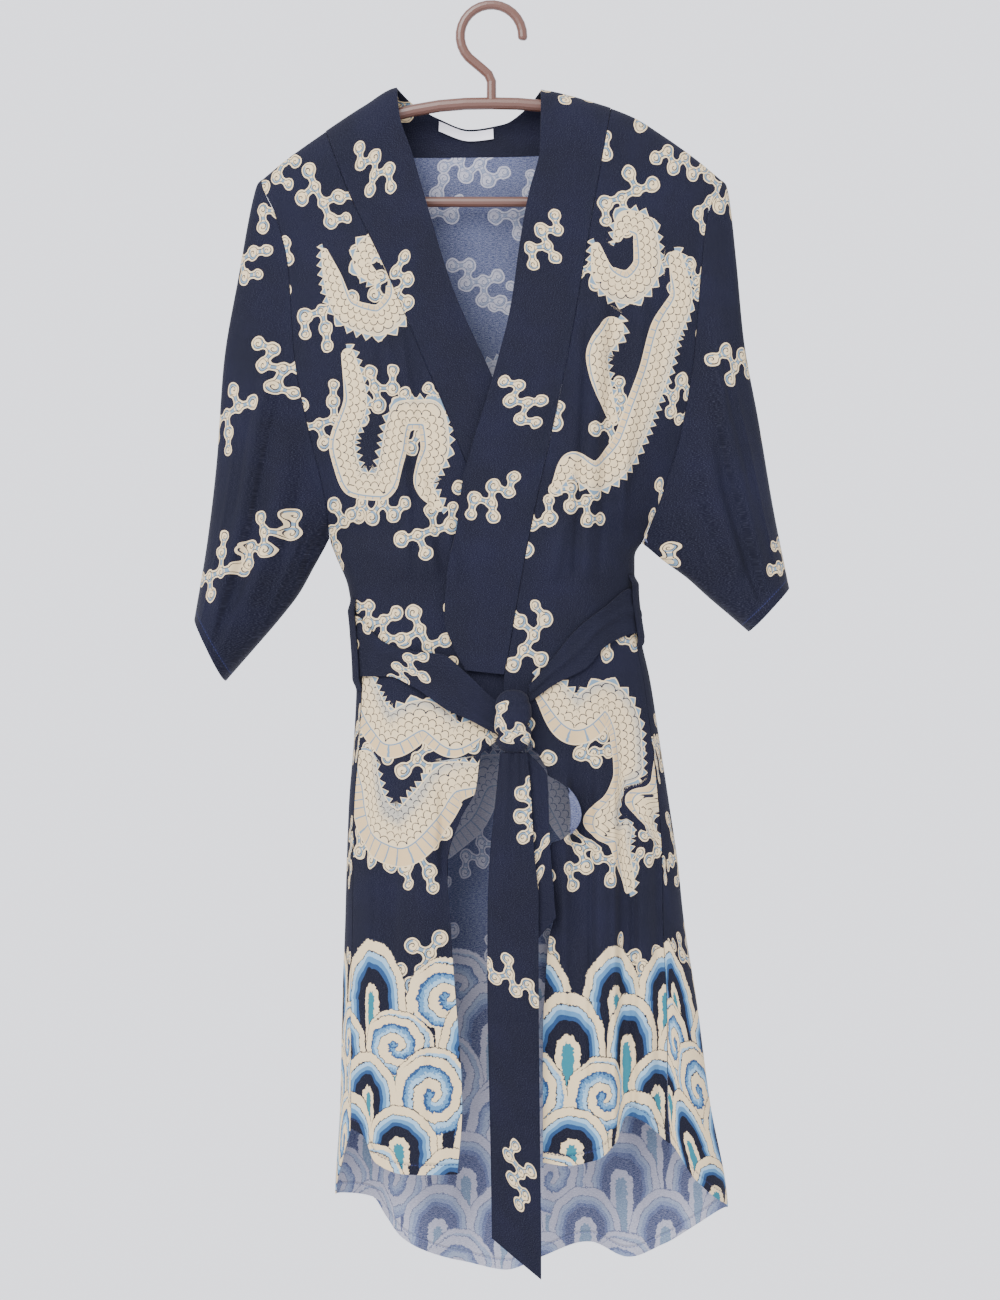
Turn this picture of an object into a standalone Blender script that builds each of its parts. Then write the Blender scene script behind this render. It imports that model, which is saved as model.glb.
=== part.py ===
# Wrap robe on a moulded hanger, in metres, +Z up, front towards -Y.
# The origin is the seat at the inner top of the hanger's hook.
# Cloth pieces are walls: a surface is worked out from a few tables of sections,
# then given its thickness inwards. Adjoining pieces read the same tables, so they
# meet at their seams.

import math

import bmesh
import bpy
import numpy as np

# Thicknesses and clearances
CLOTH = 0.0020
DOUBLED = 0.0030
SEAM_GAP = 0.0005
NECK_GAP = 0.0010
LYING_GAP = 0.0009
LABEL_THICK = 0.0010

# Hanger
HOOK_RADIUS = 0.030
HOOK_TUBE = 0.0046
ARM_TUBE = 0.0059
BAR_TUBE = 0.0050
BAR_HEIGHT = -0.1847
HANGER_SIDES = 12

# Shoulder roll over the hanger, wrap and waist
ROLL = 0.045
WIDTH_POWER = 0.85
DEPTH_POWER = 2.6
SIDE_POWER = 2.2
UNDERARM = -0.510
WRAP_LIFT = 0.0060
BAND_PROUD = 0.0005
NECK_CENTRE = -0.0216
NECK_LEAN = 0.012
BAND_END_UNDER = -0.630
BAND_END_OVER = -0.634
BAND_MEET = 0.0015
SEAM_ANGLE_GAP = 0.0045

COLOURS = {
    "navy": (0.010, 0.013, 0.055, 1.0),
    "brown": (0.190, 0.100, 0.072, 1.0),
    "white": (0.780, 0.770, 0.760, 1.0),
}
ROUGHNESS = {"navy": 0.85, "brown": 0.38, "white": 0.70}


def table(columns, *rows):
    ordered = np.array(sorted(rows), dtype=float)
    return {name: ordered[:, i] for i, name in enumerate(columns.split())}


# Half sections of the worn-flat body, from above the shoulders to the hem
BODY = table(
    "z left right front back arm",
    (-0.0600, -0.2203, 0.2213, 0.021, 0.019, 0.015),
    (-0.1636, -0.2203, 0.2213, 0.025, 0.022, 0.016),
    (-0.2000, -0.2060, 0.2060, 0.030, 0.025, 0.017),
    (-0.2467, -0.1942, 0.2005, 0.035, 0.028, 0.019),
    (-0.3345, -0.1877, 0.1929, 0.040, 0.031, 0.022),
    (-0.4100, -0.1730, 0.1800, 0.042, 0.032, 0.020),
    (-0.4500, -0.1632, 0.1685, 0.042, 0.032, 0.017),
    (-0.4800, -0.1575, 0.1580, 0.042, 0.032, 0.012),
    (-0.5100, -0.1546, 0.1455, 0.042, 0.032, 0.000),
    (-0.5236, -0.1497, 0.1375, 0.042, 0.032, 0.000),
    (-0.5553, -0.1374, 0.1375, 0.040, 0.030, 0.000),
    (-0.5982, -0.1320, 0.1425, 0.037, 0.028, 0.000),
    (-0.6445, -0.1297, 0.1525, 0.036, 0.028, 0.000),
    (-0.7000, -0.1320, 0.1611, 0.040, 0.033, 0.000),
    (-0.7607, -0.1368, 0.1704, 0.044, 0.038, 0.000),
    (-0.8190, -0.1390, 0.1789, 0.047, 0.042, 0.000),
    (-0.8759, -0.1405, 0.1850, 0.049, 0.045, 0.000),
    (-0.9480, -0.1430, 0.1965, 0.051, 0.048, 0.000),
    (-1.0468, -0.1451, 0.2095, 0.054, 0.052, 0.000),
    (-1.1466, -0.1502, 0.2270, 0.056, 0.056, 0.000),
    (-1.2300, -0.1502, 0.2300, 0.057, 0.058, 0.000),
)

# How far each side seam lies round on the front, from the side's edge
SEAM_WRAP = table(
    "z left right",
    (-0.530, 0.000, 0.000),
    (-0.610, 0.006, 0.006),
    (-0.700, 0.006, 0.008),
    (-0.760, 0.006, 0.011),
    (-0.820, 0.007, 0.016),
    (-0.880, 0.008, 0.022),
    (-0.950, 0.009, 0.030),
    (-1.080, 0.012, 0.046),
)

SHOULDER = table(
    "x z",
    (-0.2203, -0.1636),
    (-0.2080, -0.1533),
    (-0.1950, -0.1428),
    (-0.1650, -0.1214),
    (-0.1214, -0.0925),
    (-0.0907, -0.0753),
    (-0.0216, -0.0700),
    (0.0475, -0.0772),
    (0.1042, -0.0916),
    (0.1350, -0.1030),
    (0.1650, -0.1214),
    (0.1950, -0.1428),
    (0.2080, -0.1533),
    (0.2213, -0.1645),
)

# The fronts' inner edges: the band's seam down to the belt, then the free edge
UNDER_EDGE = table(
    "z x",
    (-0.1175, -0.1590),
    (-0.1750, -0.1375),
    (-0.2500, -0.1020),
    (-0.3129, -0.0749),
    (-0.4200, -0.0308),
    (-0.5200, 0.0040),
    (-0.6000, 0.0180),
    (-0.6500, 0.0200),
    (-0.6960, 0.0082),
    (-0.7156, -0.0101),
    (-0.7482, -0.0149),
    (-0.7741, -0.0283),
    (-0.8183, -0.0418),
    (-0.8625, -0.0389),
    (-0.9124, -0.0360),
    (-1.0468, -0.0274),
    (-1.1101, -0.0318),
)
OVER_EDGE = table(
    "z x",
    (-0.0956, 0.1145),
    (-0.1847, 0.0985),
    (-0.3129, 0.0765),
    (-0.3877, 0.0617),
    (-0.4477, 0.0483),
    (-0.5311, 0.0312),
    (-0.6167, 0.0165),
    (-0.6462, 0.0116),
    (-0.6750, 0.0180),
    (-0.7041, 0.0379),
    (-0.7319, 0.0528),
    (-0.7953, 0.0552),
    (-0.8625, 0.0595),
    (-0.8893, 0.0542),
    (-0.9892, 0.0485),
    (-1.0986, 0.0485),
)

# The bands' free edges, from the shoulder to their ends under the belt
UNDER_BAND_EDGE = table(
    "z x",
    (-0.0753, -0.0907),
    (-0.1031, -0.0878),
    (-0.1431, -0.0749),
    (-0.1847, -0.0629),
    (-0.2688, -0.0374),
    (-0.3565, 0.0012),
    (-0.4000, 0.0180),
    (-0.4450, 0.0340),
    (-0.5450, 0.0580),
    (-0.6300, 0.0600),
)
OVER_BAND_EDGE = table(
    "z x",
    (-0.0772, 0.0475),
    (-0.1343, 0.0464),
    (-0.1806, 0.0353),
    (-0.2247, 0.0274),
    (-0.2908, 0.0178),
    (-0.3565, 0.0012),
    (-0.3863, -0.0076),
    (-0.4257, -0.0197),
    (-0.4554, -0.0274),
    (-0.4996, -0.0331),
    (-0.5428, -0.0418),
    (-0.5850, -0.0446),
    (-0.6119, -0.0360),
    (-0.6480, -0.0160),
)

# Back neck: the band's seam on the back panel, and its top edge
NECK_SEAM = table(
    "x z",
    (-0.1590, -0.1175),
    (-0.1480, -0.1270),
    (-0.1200, -0.1360),
    (-0.0780, -0.1400),
    (-0.0216, -0.1400),
    (0.0450, -0.1380),
    (0.0850, -0.1260),
    (0.1050, -0.1080),
    (0.1145, -0.0956),
)
NECK_TOP = table(
    "x z",
    (-0.0907, -0.0753),
    (-0.0760, -0.0880),
    (-0.0507, -0.1010),
    (-0.0216, -0.1110),
    (0.0120, -0.1060),
    (0.0330, -0.0930),
    (0.0475, -0.0772),
)

# Hems
UNDER_HEM = table(
    "x z",
    (-0.1320, -1.0710),
    (-0.1214, -1.0765),
    (-0.1120, -1.0985),
    (-0.1051, -1.1049),
    (-0.0843, -1.1108),
    (-0.0318, -1.1101),
)
OVER_HEM = table(
    "x z",
    (0.0485, -1.0986),
    (0.0696, -1.1015),
    (0.0974, -1.0962),
    (0.1180, -1.0800),
    (0.1280, -1.0560),
    (0.1416, -1.0593),
    (0.1685, -1.0823),
)
BACK_HEM = table(
    "x z",
    (-0.1502, -1.1370),
    (-0.1157, -1.1461),
    (-0.1022, -1.1668),
    (-0.0881, -1.1860),
    (-0.0629, -1.2004),
    (-0.0318, -1.2116),
    (0.0130, -1.2201),
    (0.0470, -1.2071),
    (0.0974, -1.1934),
    (0.1320, -1.2052),
    (0.1700, -1.1927),
    (0.1915, -1.1781),
    (0.2290, -1.1485),
)

# The back's hem where it wraps to the front: by the share of the wrap, from the
# side's edge to the seam
LEFT_WRAP_HEM = table("share z", (0.0, -1.1370), (0.6, -1.1080), (1.0, -1.0710))
RIGHT_WRAP_HEM = table(
    "share z",
    (0.0, -1.1485),
    (0.45, -1.1390),
    (0.8, -1.1180),
    (1.0, -1.0823),
)

# Large folds: a straight run down the cloth, half its width, and how far it
# stands out (or in, where negative)
FRONT_FOLDS = [
    # top x, top z, low x, low z, half width, depth
    (-0.132, -0.190, -0.060, -0.575, 0.014, 0.0060),
    (-0.100, -0.300, -0.084, -0.575, 0.012, 0.0035),
    (0.104, -0.230, 0.090, -0.575, 0.012, 0.0060),
    (0.138, -0.330, 0.112, -0.570, 0.012, 0.0045),
    (-0.118, -0.690, -0.122, -1.140, 0.013, 0.0045),
    (-0.096, -0.700, -0.099, -1.140, 0.012, -0.0050),
    (-0.070, -0.690, -0.066, -1.140, 0.018, 0.0050),
    (0.084, -0.650, 0.085, -0.900, 0.011, -0.0055),
    (0.106, -0.650, 0.104, -1.140, 0.014, 0.0070),
    (0.125, -0.640, 0.126, -1.140, 0.011, -0.0090),
    (0.146, -0.660, 0.147, -1.140, 0.012, 0.0060),
    (0.160, -0.760, 0.172, -1.140, 0.011, -0.0050),
]
BACK_FOLDS = [
    # top x, top z, low x, low z, half width, depth
    (-0.104, -0.280, -0.066, -0.575, 0.018, 0.0055),
    (-0.020, -0.340, -0.016, -0.575, 0.020, 0.0060),
    (0.062, -0.300, 0.050, -0.575, 0.018, 0.0050),
    (0.118, -0.360, 0.096, -0.575, 0.017, 0.0050),
    (-0.104, -0.660, -0.116, -1.260, 0.020, 0.0080),
    (-0.064, -0.680, -0.068, -1.260, 0.018, -0.0070),
    (-0.018, -0.660, -0.016, -1.260, 0.022, 0.0075),
    (0.034, -0.670, 0.036, -1.260, 0.019, -0.0070),
    (0.078, -0.660, 0.086, -1.260, 0.020, 0.0080),
    (0.104, -0.760, 0.140, -1.260, 0.017, -0.0110),
    (0.132, -0.700, 0.182, -1.260, 0.018, 0.0070),
]

# Sleeves: outer edge and under seam, and how deep the tube is, by the share of
# its length from the armhole
LEFT_SLEEVE = table(
    "along outer_x outer_z under_x under_z depth",
    (0.00, -0.2203, -0.1636, -0.1546, -0.5075, 0.024),
    (0.02, -0.2238, -0.1669, -0.1560, -0.5100, 0.024),
    (0.06, -0.2280, -0.1800, -0.1590, -0.5160, 0.025),
    (0.20, -0.2415, -0.2520, -0.1690, -0.5340, 0.027),
    (0.4, -0.2565, -0.3400, -0.1838, -0.5603, 0.031),
    (0.6, -0.2630, -0.4300, -0.2030, -0.5850, 0.034),
    (0.8, -0.2720, -0.5080, -0.2290, -0.6150, 0.037),
    (1.0, -0.2846, -0.5850, -0.2549, -0.6445, 0.040),
)
RIGHT_SLEEVE = table(
    "along outer_x outer_z under_x under_z depth",
    (0.00, 0.2213, -0.1645, 0.1446, -0.5123, 0.024),
    (0.02, 0.2246, -0.1676, 0.1462, -0.5136, 0.024),
    (0.06, 0.2275, -0.1790, 0.1500, -0.5165, 0.025),
    (0.20, 0.2345, -0.2400, 0.1650, -0.5290, 0.027),
    (0.4, 0.2420, -0.3180, 0.1877, -0.5457, 0.031),
    (0.6, 0.2560, -0.3950, 0.2080, -0.5640, 0.034),
    (0.8, 0.2700, -0.4780, 0.2280, -0.5810, 0.036),
    (1.0, 0.2854, -0.5553, 0.2467, -0.5971, 0.038),
)
SLEEVE_FOLDS = [
    # share across from the outer edge, start and end along, half width, depth
    (0.34, 0.10, 0.95, 0.10, 0.0045),
    (0.66, 0.04, 0.80, 0.09, 0.0050),
    (0.50, 0.20, 1.00, 0.07, -0.0040),
]

# The belt round the waist, from the knot's left side round the back to its right.
# side is -1 on the front and 1 on the back; turned is 0 left of the middle, 1 right
BELT = [
    # x, side, turned, top, bottom
    (0.0060, -1, 0, -0.6637, -0.6954),
    (-0.0221, -1, 0, -0.6369, -0.6810),
    (-0.0442, -1, 0, -0.6190, -0.6710),
    (-0.0720, -1, 0, -0.6160, -0.6509),
    (-0.0989, -1, 0, -0.6080, -0.6397),
    (-0.1240, -1, 0, -0.5830, -0.6400),
    (-0.1300, 1, 0, -0.5790, -0.6370),
    (-0.0900, 1, 0, -0.5760, -0.6340),
    (0.0100, 1, 0, -0.5750, -0.6330),
    (0.1000, 1, 1, -0.5720, -0.6280),
    (0.1380, 1, 1, -0.5620, -0.6120),
    (0.1330, -1, 1, -0.5562, -0.5990),
    (0.1080, -1, 1, -0.5750, -0.6090),
    (0.0840, -1, 1, -0.5950, -0.6330),
    (0.0600, -1, 1, -0.6230, -0.6465),
    (0.0360, -1, 1, -0.6480, -0.6640),
]

# Where a panel's rows lie down its length: close over the hanger and at the waist
ROWS = 29
ARM_ROW = 13
ROW_SPACING = table(
    "row share",
    (0, 0.000),
    (2, 0.006),
    (4, 0.026),
    (6, 0.060),
    (10, 0.270),
    (13, 0.379),
    (22, 0.555),
    (29, 1.000),
)
BAND_ROWS = 28
BAND_SHOULDER_ROW = 20
BAND_SPACING = table(
    "row share",
    (0, 0.000),
    (6, 0.220),
    (13, 0.780),
    (16, 0.935),
    (18, 0.985),
    (20, 1.000),
)
NECK_SPACING = table("row share", (20, 0.0), (21, 0.025), (22, 0.090), (23, 0.200), (28, 1.0))

KNOT_TOP = -0.6520
KNOT_BOTTOM = -0.7120
KNOT_CENTRE = (0.0205, -0.0596)
KNOT_HALF_WIDTH = 0.0175
KNOT_HALF_DEPTH = 0.0130
KNOT_WAIST = 0.12

LONG_TAIL = table(
    "z left right y",
    (-0.7113, 0.0082, 0.0341, -0.0600),
    (-0.7415, 0.0053, 0.0366, -0.0605),
    (-0.8087, -0.0014, 0.0408, -0.0615),
    (-0.8490, -0.0034, 0.0446, -0.0620),
    (-0.9124, -0.0038, 0.0446, -0.0630),
    (-1.1000, -0.0005, 0.0462, -0.0655),
    (-1.1670, 0.0005, 0.0470, -0.0665),
)
LONG_TAIL_TIP = (-1.1677, -1.2071)
SHORT_TAIL = table(
    "z left right y",
    (-0.7113, 0.0120, 0.0350, -0.0548),
    (-0.7338, 0.0140, 0.0528, -0.0550),
    (-0.7953, 0.0160, 0.0552, -0.0558),
    (-0.8400, 0.0165, 0.0585, -0.0564),
    (-0.8670, 0.0165, 0.0610, -0.0568),
)
SHORT_TAIL_TIP = (-0.9200, -0.8670)

LOOP_ANGLE = 0.26
LOOP_SPREAD = 0.16
LOOP_THICK = 0.0012
LOOP_END_GAP = 0.0008
LABEL = {"left": -0.0517, "right": 0.0022, "top_inset": 0.0030, "height": 0.0100}


def smooth(rows, column, at):
    # smooth curve through a table's rows, with no overshoot, level past its ends
    key = next(iter(rows))
    knots, values = rows[key], rows[column]
    steps = np.diff(knots)
    secants = np.diff(values) / steps
    slopes = np.empty_like(values)
    slopes[0], slopes[-1] = secants[0], secants[-1]
    before, after = secants[:-1], secants[1:]
    rising = before * after > 0
    total = np.where(rising, before + after, 1.0)
    slopes[1:-1] = np.where(rising, 2.0 * before * after / total, 0.0)
    at = np.asarray(at, dtype=float)
    i = np.clip(np.searchsorted(knots, at) - 1, 0, len(knots) - 2)
    t = np.clip((at - knots[i]) / steps[i], 0.0, 1.0)
    low, high = values[i], values[i + 1]
    bend_low, bend_high = slopes[i] * steps[i], slopes[i + 1] * steps[i]
    return (
        low
        + t * bend_low
        + t * t * (3.0 * (high - low) - 2.0 * bend_low - bend_high)
        + t * t * t * (2.0 * (low - high) + bend_low + bend_high)
    )


def shoulder_z(x):
    return smooth(SHOULDER, "z", x)


def ease(t):
    t = np.clip(t, 0.0, 1.0)
    return t * t * (3.0 - 2.0 * t)


def mix(a, b, t):
    return a + (b - a) * t


def fold_depth(folds, x, z):
    depth = np.zeros(np.broadcast(x, z).shape)
    for top_x, top_z, low_x, low_z, half_width, out in folds:
        run = (top_z - z) / (top_z - low_z)
        path = mix(top_x, low_x, run)
        fade = ease(run / 0.25) * (1.0 - ease((run - 0.9) / 0.1))
        depth = depth + out * fade * np.exp(-(((x - path) / half_width) ** 2))
    pressed = ease((z + 0.700) / 0.03) * ease((-0.535 - z) / 0.02)
    return depth * (1.0 - pressed)


def middle_and_half(z):
    left, right = smooth(BODY, "left", z), smooth(BODY, "right", z)
    return (left + right) / 2.0, (right - left) / 2.0


def angle_at(x, z):
    # angle round the body, from 0 at the left side to pi at the right side
    middle, half = middle_and_half(z)
    share = np.clip((x - middle) / half, -1.0, 1.0)
    return np.arccos(-np.sign(share) * np.abs(share) ** (1.0 / WIDTH_POWER))


def body_depth(x, z, share, on_back):
    # distance of the front or back surface from the middle plane
    full = np.where(on_back, smooth(BODY, "back", z), smooth(BODY, "front", z))
    arm = smooth(BODY, "arm", z)
    bulge = np.clip(1.0 - share**DEPTH_POWER, 0.0, 1.0)
    closed = full * bulge ** (1.0 / SIDE_POWER)
    to_sleeve = arm + (full - arm) * bulge
    side = mix(closed, to_sleeve, ease((z - UNDERARM + 0.015) / 0.030))
    folds = np.where(on_back, fold_depth(BACK_FOLDS, x, z), fold_depth(FRONT_FOLDS, x, z))
    drop = np.clip(shoulder_z(x) - z, 0.0, ROLL)
    roll = np.sqrt(np.clip(1.0 - (1.0 - drop / ROLL) ** 2, 0.0, 1.0))
    return (side + folds * bulge) * roll


def wrap_lift(x, z):
    # how far the upper front lies off the body, where the fronts overlap
    below_neck = ease((-0.25 - z) / 0.09)
    above_skirt = 1.0 - ease((-0.70 - z) / 0.08)
    inside = 1.0 - ease((x - 0.085) / 0.04)
    return WRAP_LIFT * below_neck * above_skirt * inside


def around(angle, z):
    # a point on the body: positive angles run round the back from the left side,
    # negative ones round the front
    middle, half = middle_and_half(z)
    turn = np.cos(angle)
    share = np.abs(turn) ** WIDTH_POWER
    x = middle - half * np.sign(turn) * share
    on_back = np.sin(angle) > 0
    side = np.where(on_back, 1.0, -1.0)
    parted = mix(np.clip(np.abs(np.sin(angle)) / 0.05, 0, 1), 1.0, ease((z + 0.52) / 0.02))
    y = side * (body_depth(x, z, share, on_back) + parted * SEAM_GAP / 2.0)
    return np.stack([x, y, z * np.ones_like(x)], axis=-1)


def on_body(x, z, on_back):
    middle, half = middle_and_half(z)
    share = np.clip(np.abs(x - middle) / half, 0.0, 1.0)
    side = np.where(on_back, 1.0, -1.0)
    y = side * (body_depth(x, z, share, on_back) + SEAM_GAP / 2.0)
    return np.stack([x, y, z * np.ones_like(x)], axis=-1)


def column_end(angle_for, line, first, u):
    # the height at which each column meets a line such as the shoulder or a hem
    z = np.full(np.shape(u), first)
    for _ in range(60):
        z = mix(z, line(around(angle_for(u, z), z)[..., 0], u), 0.5)
    return z


def panel(angle_for, top_line, bottom_line):
    # surface of a panel between two lines
    def surface(u, v):
        top = column_end(angle_for, top_line, -0.13, u)
        bottom = column_end(angle_for, bottom_line, -1.12, u)
        z = mix(top, bottom, smooth(ROW_SPACING, "share", v * ROWS))
        return around(angle_for(u, z), z)

    return surface


def left_seam_angle(z):
    return angle_at(smooth(BODY, "left", z) + smooth(SEAM_WRAP, "left", z), z)


def right_seam_angle(z):
    return angle_at(smooth(BODY, "right", z) - smooth(SEAM_WRAP, "right", z), z)


def under_angle(u, z):
    inner = angle_at(smooth(UNDER_EDGE, "x", z) - SEAM_GAP / 2.0, z)
    return -mix(left_seam_angle(z) + SEAM_ANGLE_GAP, inner, u)


def over_angle(u, z):
    inner = angle_at(smooth(OVER_EDGE, "x", z) + SEAM_GAP / 2.0, z)
    return -mix(inner, right_seam_angle(z) - SEAM_ANGLE_GAP, u)


def back_angle(u, z):
    start = -left_seam_angle(z) + SEAM_ANGLE_GAP
    end = 2.0 * math.pi - right_seam_angle(z) - SEAM_ANGLE_GAP
    return mix(start, end, u)


def shoulder_line(x, u):
    return shoulder_z(x)


def neck_seam(x, side):
    # the back neck's seam line, moved down or up by half the gap across it
    run = 0.001
    slope = (smooth(NECK_SEAM, "z", x + run) - smooth(NECK_SEAM, "z", x - run)) / (2.0 * run)
    return smooth(NECK_SEAM, "z", x) + side * NECK_GAP / 2.0 * np.sqrt(1.0 + slope**2)


def back_top_line(x, u):
    in_neck = (x > NECK_SEAM["x"][0]) & (x < NECK_SEAM["x"][-1])
    shoulder = shoulder_z(x)
    return np.where(in_neck, np.minimum(neck_seam(x, -1.0), shoulder), shoulder)


def back_hem_line(x, u):
    low = np.full(np.shape(u), -1.08)
    angle, start, end = back_angle(u, low), back_angle(0.0, low), back_angle(1.0, low)
    hem = smooth(BACK_HEM, "z", x)
    hem = np.where(angle < 0.0, smooth(LEFT_WRAP_HEM, "z", angle / start), hem)
    wrapped = (angle - math.pi) / (end - math.pi)
    return np.where(wrapped > 0.0, smooth(RIGHT_WRAP_HEM, "z", wrapped), hem)


def under_hem_line(x, u):
    return smooth(UNDER_HEM, "z", x)


def over_hem_line(x, u):
    return smooth(OVER_HEM, "z", x)


def under_front(u, v):
    return panel(under_angle, shoulder_line, under_hem_line)(u, v)


def over_front(u, v):
    points = panel(over_angle, shoulder_line, over_hem_line)(u, v)
    points[..., 1] -= wrap_lift(points[..., 0], points[..., 2])
    return points


def back_panel(u, v):
    return panel(back_angle, back_top_line, back_hem_line)(u, v)


def band(seam, free_edge, end, neck_from, lifted, u, v):
    # half of the neck band: up the front, over the shoulder, to the centre back
    row = v * BAND_ROWS
    on_back = row > BAND_SHOULDER_ROW
    round_neck = smooth(NECK_SPACING, "share", row)
    climb = 1.0 - smooth(BAND_SPACING, "share", row)
    free_x_top, seam_x_top = neck_from
    free_z = mix(shoulder_z(free_x_top), end, climb)
    seam_z = mix(shoulder_z(seam_x_top), end - 0.004, climb)
    sideways = -1.0 if seam is UNDER_EDGE else 1.0
    free_x = np.where(on_back, mix(free_x_top, NECK_CENTRE, round_neck), smooth(free_edge, "x", free_z))
    seam_x = np.where(on_back, mix(seam_x_top, NECK_CENTRE, round_neck), smooth(seam, "x", seam_z))
    seam_x = seam_x - sideways * np.where(on_back, NECK_GAP * (1.0 - round_neck), SEAM_GAP / 2.0)
    free_z = np.where(on_back, smooth(NECK_TOP, "z", free_x), free_z)
    seam_z = np.where(on_back, np.minimum(neck_seam(seam_x, 1.0), shoulder_z(seam_x)), seam_z)
    free_drop = shoulder_z(free_x) - free_z
    seam_drop = shoulder_z(seam_x) - seam_z
    x = mix(free_x, seam_x, u)
    drop = np.maximum(mix(free_drop, seam_drop, u), 0.0)
    straight = mix(free_z, seam_z, u)
    z = mix(shoulder_z(x) - drop, straight, ease((drop - 0.02) / 0.10))
    points = on_body(x, z, on_back)
    points[..., 1] += np.where(on_back, 1.0, 0.0) * NECK_LEAN * (1.0 - u) * ease(round_neck)
    if lifted:
        points[..., 1] -= np.where(on_back, 0.0, 1.0) * wrap_lift(x, z)
    return points


def under_band(u, v):
    v = v * (1.0 - BAND_MEET)
    return band(UNDER_EDGE, UNDER_BAND_EDGE, BAND_END_UNDER, (-0.0907, -0.1590), False, u, v)


def over_band(u, v):
    v = v * (1.0 - BAND_MEET)
    return band(OVER_EDGE, OVER_BAND_EDGE, BAND_END_OVER, (0.0475, 0.1145), True, u, v)


def sleeve(rows, side):
    # tube from the armhole to the cuff: u runs round it from the outer edge over
    # the front, v runs down it
    edge = "left" if side < 0 else "right"
    tip_z, under_z = rows["outer_z"][0], rows["under_z"][0]
    seam_end = (UNDER_HEM if side < 0 else OVER_HEM)["z"][0 if side < 0 else -1]

    def surface(u, v):
        front = np.where(u < 0.5, -1.0, 1.0)
        row = ARM_ROW * (1.0 - np.abs(1.0 - 2.0 * u))
        hole_z = mix(tip_z, seam_end, smooth(ROW_SPACING, "share", row))
        across = np.clip((hole_z - tip_z) / (under_z - tip_z), 0.0, 1.0)
        roundness = 2.0 * np.sqrt(across * (1.0 - across))
        hole_x = smooth(BODY, edge, hole_z) + side * SEAM_GAP * 0.75
        drop = np.clip(shoulder_z(hole_x) - hole_z, 0.0, ROLL)
        roll = np.sqrt(np.clip(1.0 - (1.0 - drop / ROLL) ** 2, 0.0, 1.0))
        hole_depth = smooth(BODY, "arm", hole_z) * roll
        start_x = mix(rows["outer_x"][0], rows["under_x"][0], across)
        line_x = mix(smooth(rows, "outer_x", v), smooth(rows, "under_x", v), across)
        line_z = mix(smooth(rows, "outer_z", v), smooth(rows, "under_z", v), across)
        bow = (hole_x - start_x) * (1.0 - ease(v))
        tube_depth = smooth(rows, "depth", v) * roundness**0.8
        for share, start, end, half_width, out in SLEEVE_FOLDS:
            fade = ease((v - start) / 0.15) * (1.0 - ease((v - end + 0.1) / 0.1))
            tube_depth = tube_depth + out * fade * np.exp(-(((across - share) / half_width) ** 2))
        depth = mix(hole_depth, tube_depth, ease(v / 0.35))
        parted = SEAM_GAP / 2.0 * np.clip(roundness / 0.1, 0, 1)
        return np.stack([line_x + bow, front * (depth + parted), line_z], axis=-1)

    return surface


def belt_surface(u, v):
    # v runs from the belt's top edge to its bottom edge
    stations = np.linspace(0.0, 1.0, len(BELT))
    angles = []
    for x, side, turned, top, bottom in BELT:
        angle = float(angle_at(np.array(x), np.array((top + bottom) / 2.0)))
        angles.append(side * angle if turned == 0 or side > 0 else 2.0 * math.pi - angle)
    rows = {
        "at": stations,
        "angle": np.array(angles),
        "top": np.array([row[3] for row in BELT]),
        "bottom": np.array([row[4] for row in BELT]),
    }
    z = mix(smooth(rows, "top", u), smooth(rows, "bottom", u), v)
    points = around(smooth(rows, "angle", u), z)
    over = ease((points[..., 0] + 0.090) / 0.036)
    in_front = np.clip(-points[..., 1] / 0.010, 0.0, 1.0)
    points[..., 1] -= wrap_lift(points[..., 0], points[..., 2]) * over * in_front
    return points


def tail_surface(rows, tip):
    # a hanging end of the belt, cut at a slant: tip gives the left and right ends
    def surface(u, v):
        top = rows["z"][-1]
        low = mix(tip[0], tip[1], u)
        z = mix(top, low, v)
        x = mix(smooth(rows, "left", z), smooth(rows, "right", z), u)
        sway = 0.0012 * np.sin(u * math.pi) + 0.0008 * np.sin(z * 95.0)
        return np.stack([x, smooth(rows, "y", z) - sway, z], axis=-1)

    return surface


def loop_surface(angle, top, bottom):
    def surface(u, v):
        return around(angle + LOOP_SPREAD * (u - 0.5), mix(top, bottom, v))

    return surface


def loop_raise(u, v):
    over_belt = ease(v / 0.14) * ease((1.0 - v) / 0.14)
    return LOOP_THICK + LOOP_END_GAP + (DOUBLED + LYING_GAP) * over_belt


def label_surface(u, v):
    x = mix(LABEL["left"], LABEL["right"], u)
    z = smooth(NECK_TOP, "z", x) - LABEL["top_inset"] - LABEL["height"] * v
    share = (smooth(NECK_TOP, "z", x) - z) / (smooth(NECK_TOP, "z", x) - smooth(NECK_SEAM, "z", x))
    points = on_body(x, z, True)
    from_peak = np.minimum(x + 0.0907, 0.0475 - x) / 0.0691
    points[..., 1] += NECK_LEAN * (1.0 - share) * ease(from_peak)
    return points


def material(name, colour):
    made = bpy.data.materials.new(name)
    made.use_nodes = True
    shader = made.node_tree.nodes["Principled BSDF"]
    shader.inputs["Base Color"].default_value = COLOURS[colour]
    shader.inputs["Roughness"].default_value = ROUGHNESS[colour]
    shader.inputs["Metallic"].default_value = 0.0
    return made


def add_object(name, mesh_shape, colour, sharp=40.0):
    bmesh.ops.recalc_face_normals(mesh_shape, faces=mesh_shape.faces)
    mesh = bpy.data.meshes.new(name)
    mesh_shape.to_mesh(mesh)
    mesh_shape.free()
    mesh.shade_smooth()
    mesh.set_sharp_from_angle(angle=math.radians(sharp))
    mesh.materials.append(material(name, colour))
    piece = bpy.data.objects.new(name, mesh)
    bpy.context.collection.objects.link(piece)
    return piece


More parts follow.
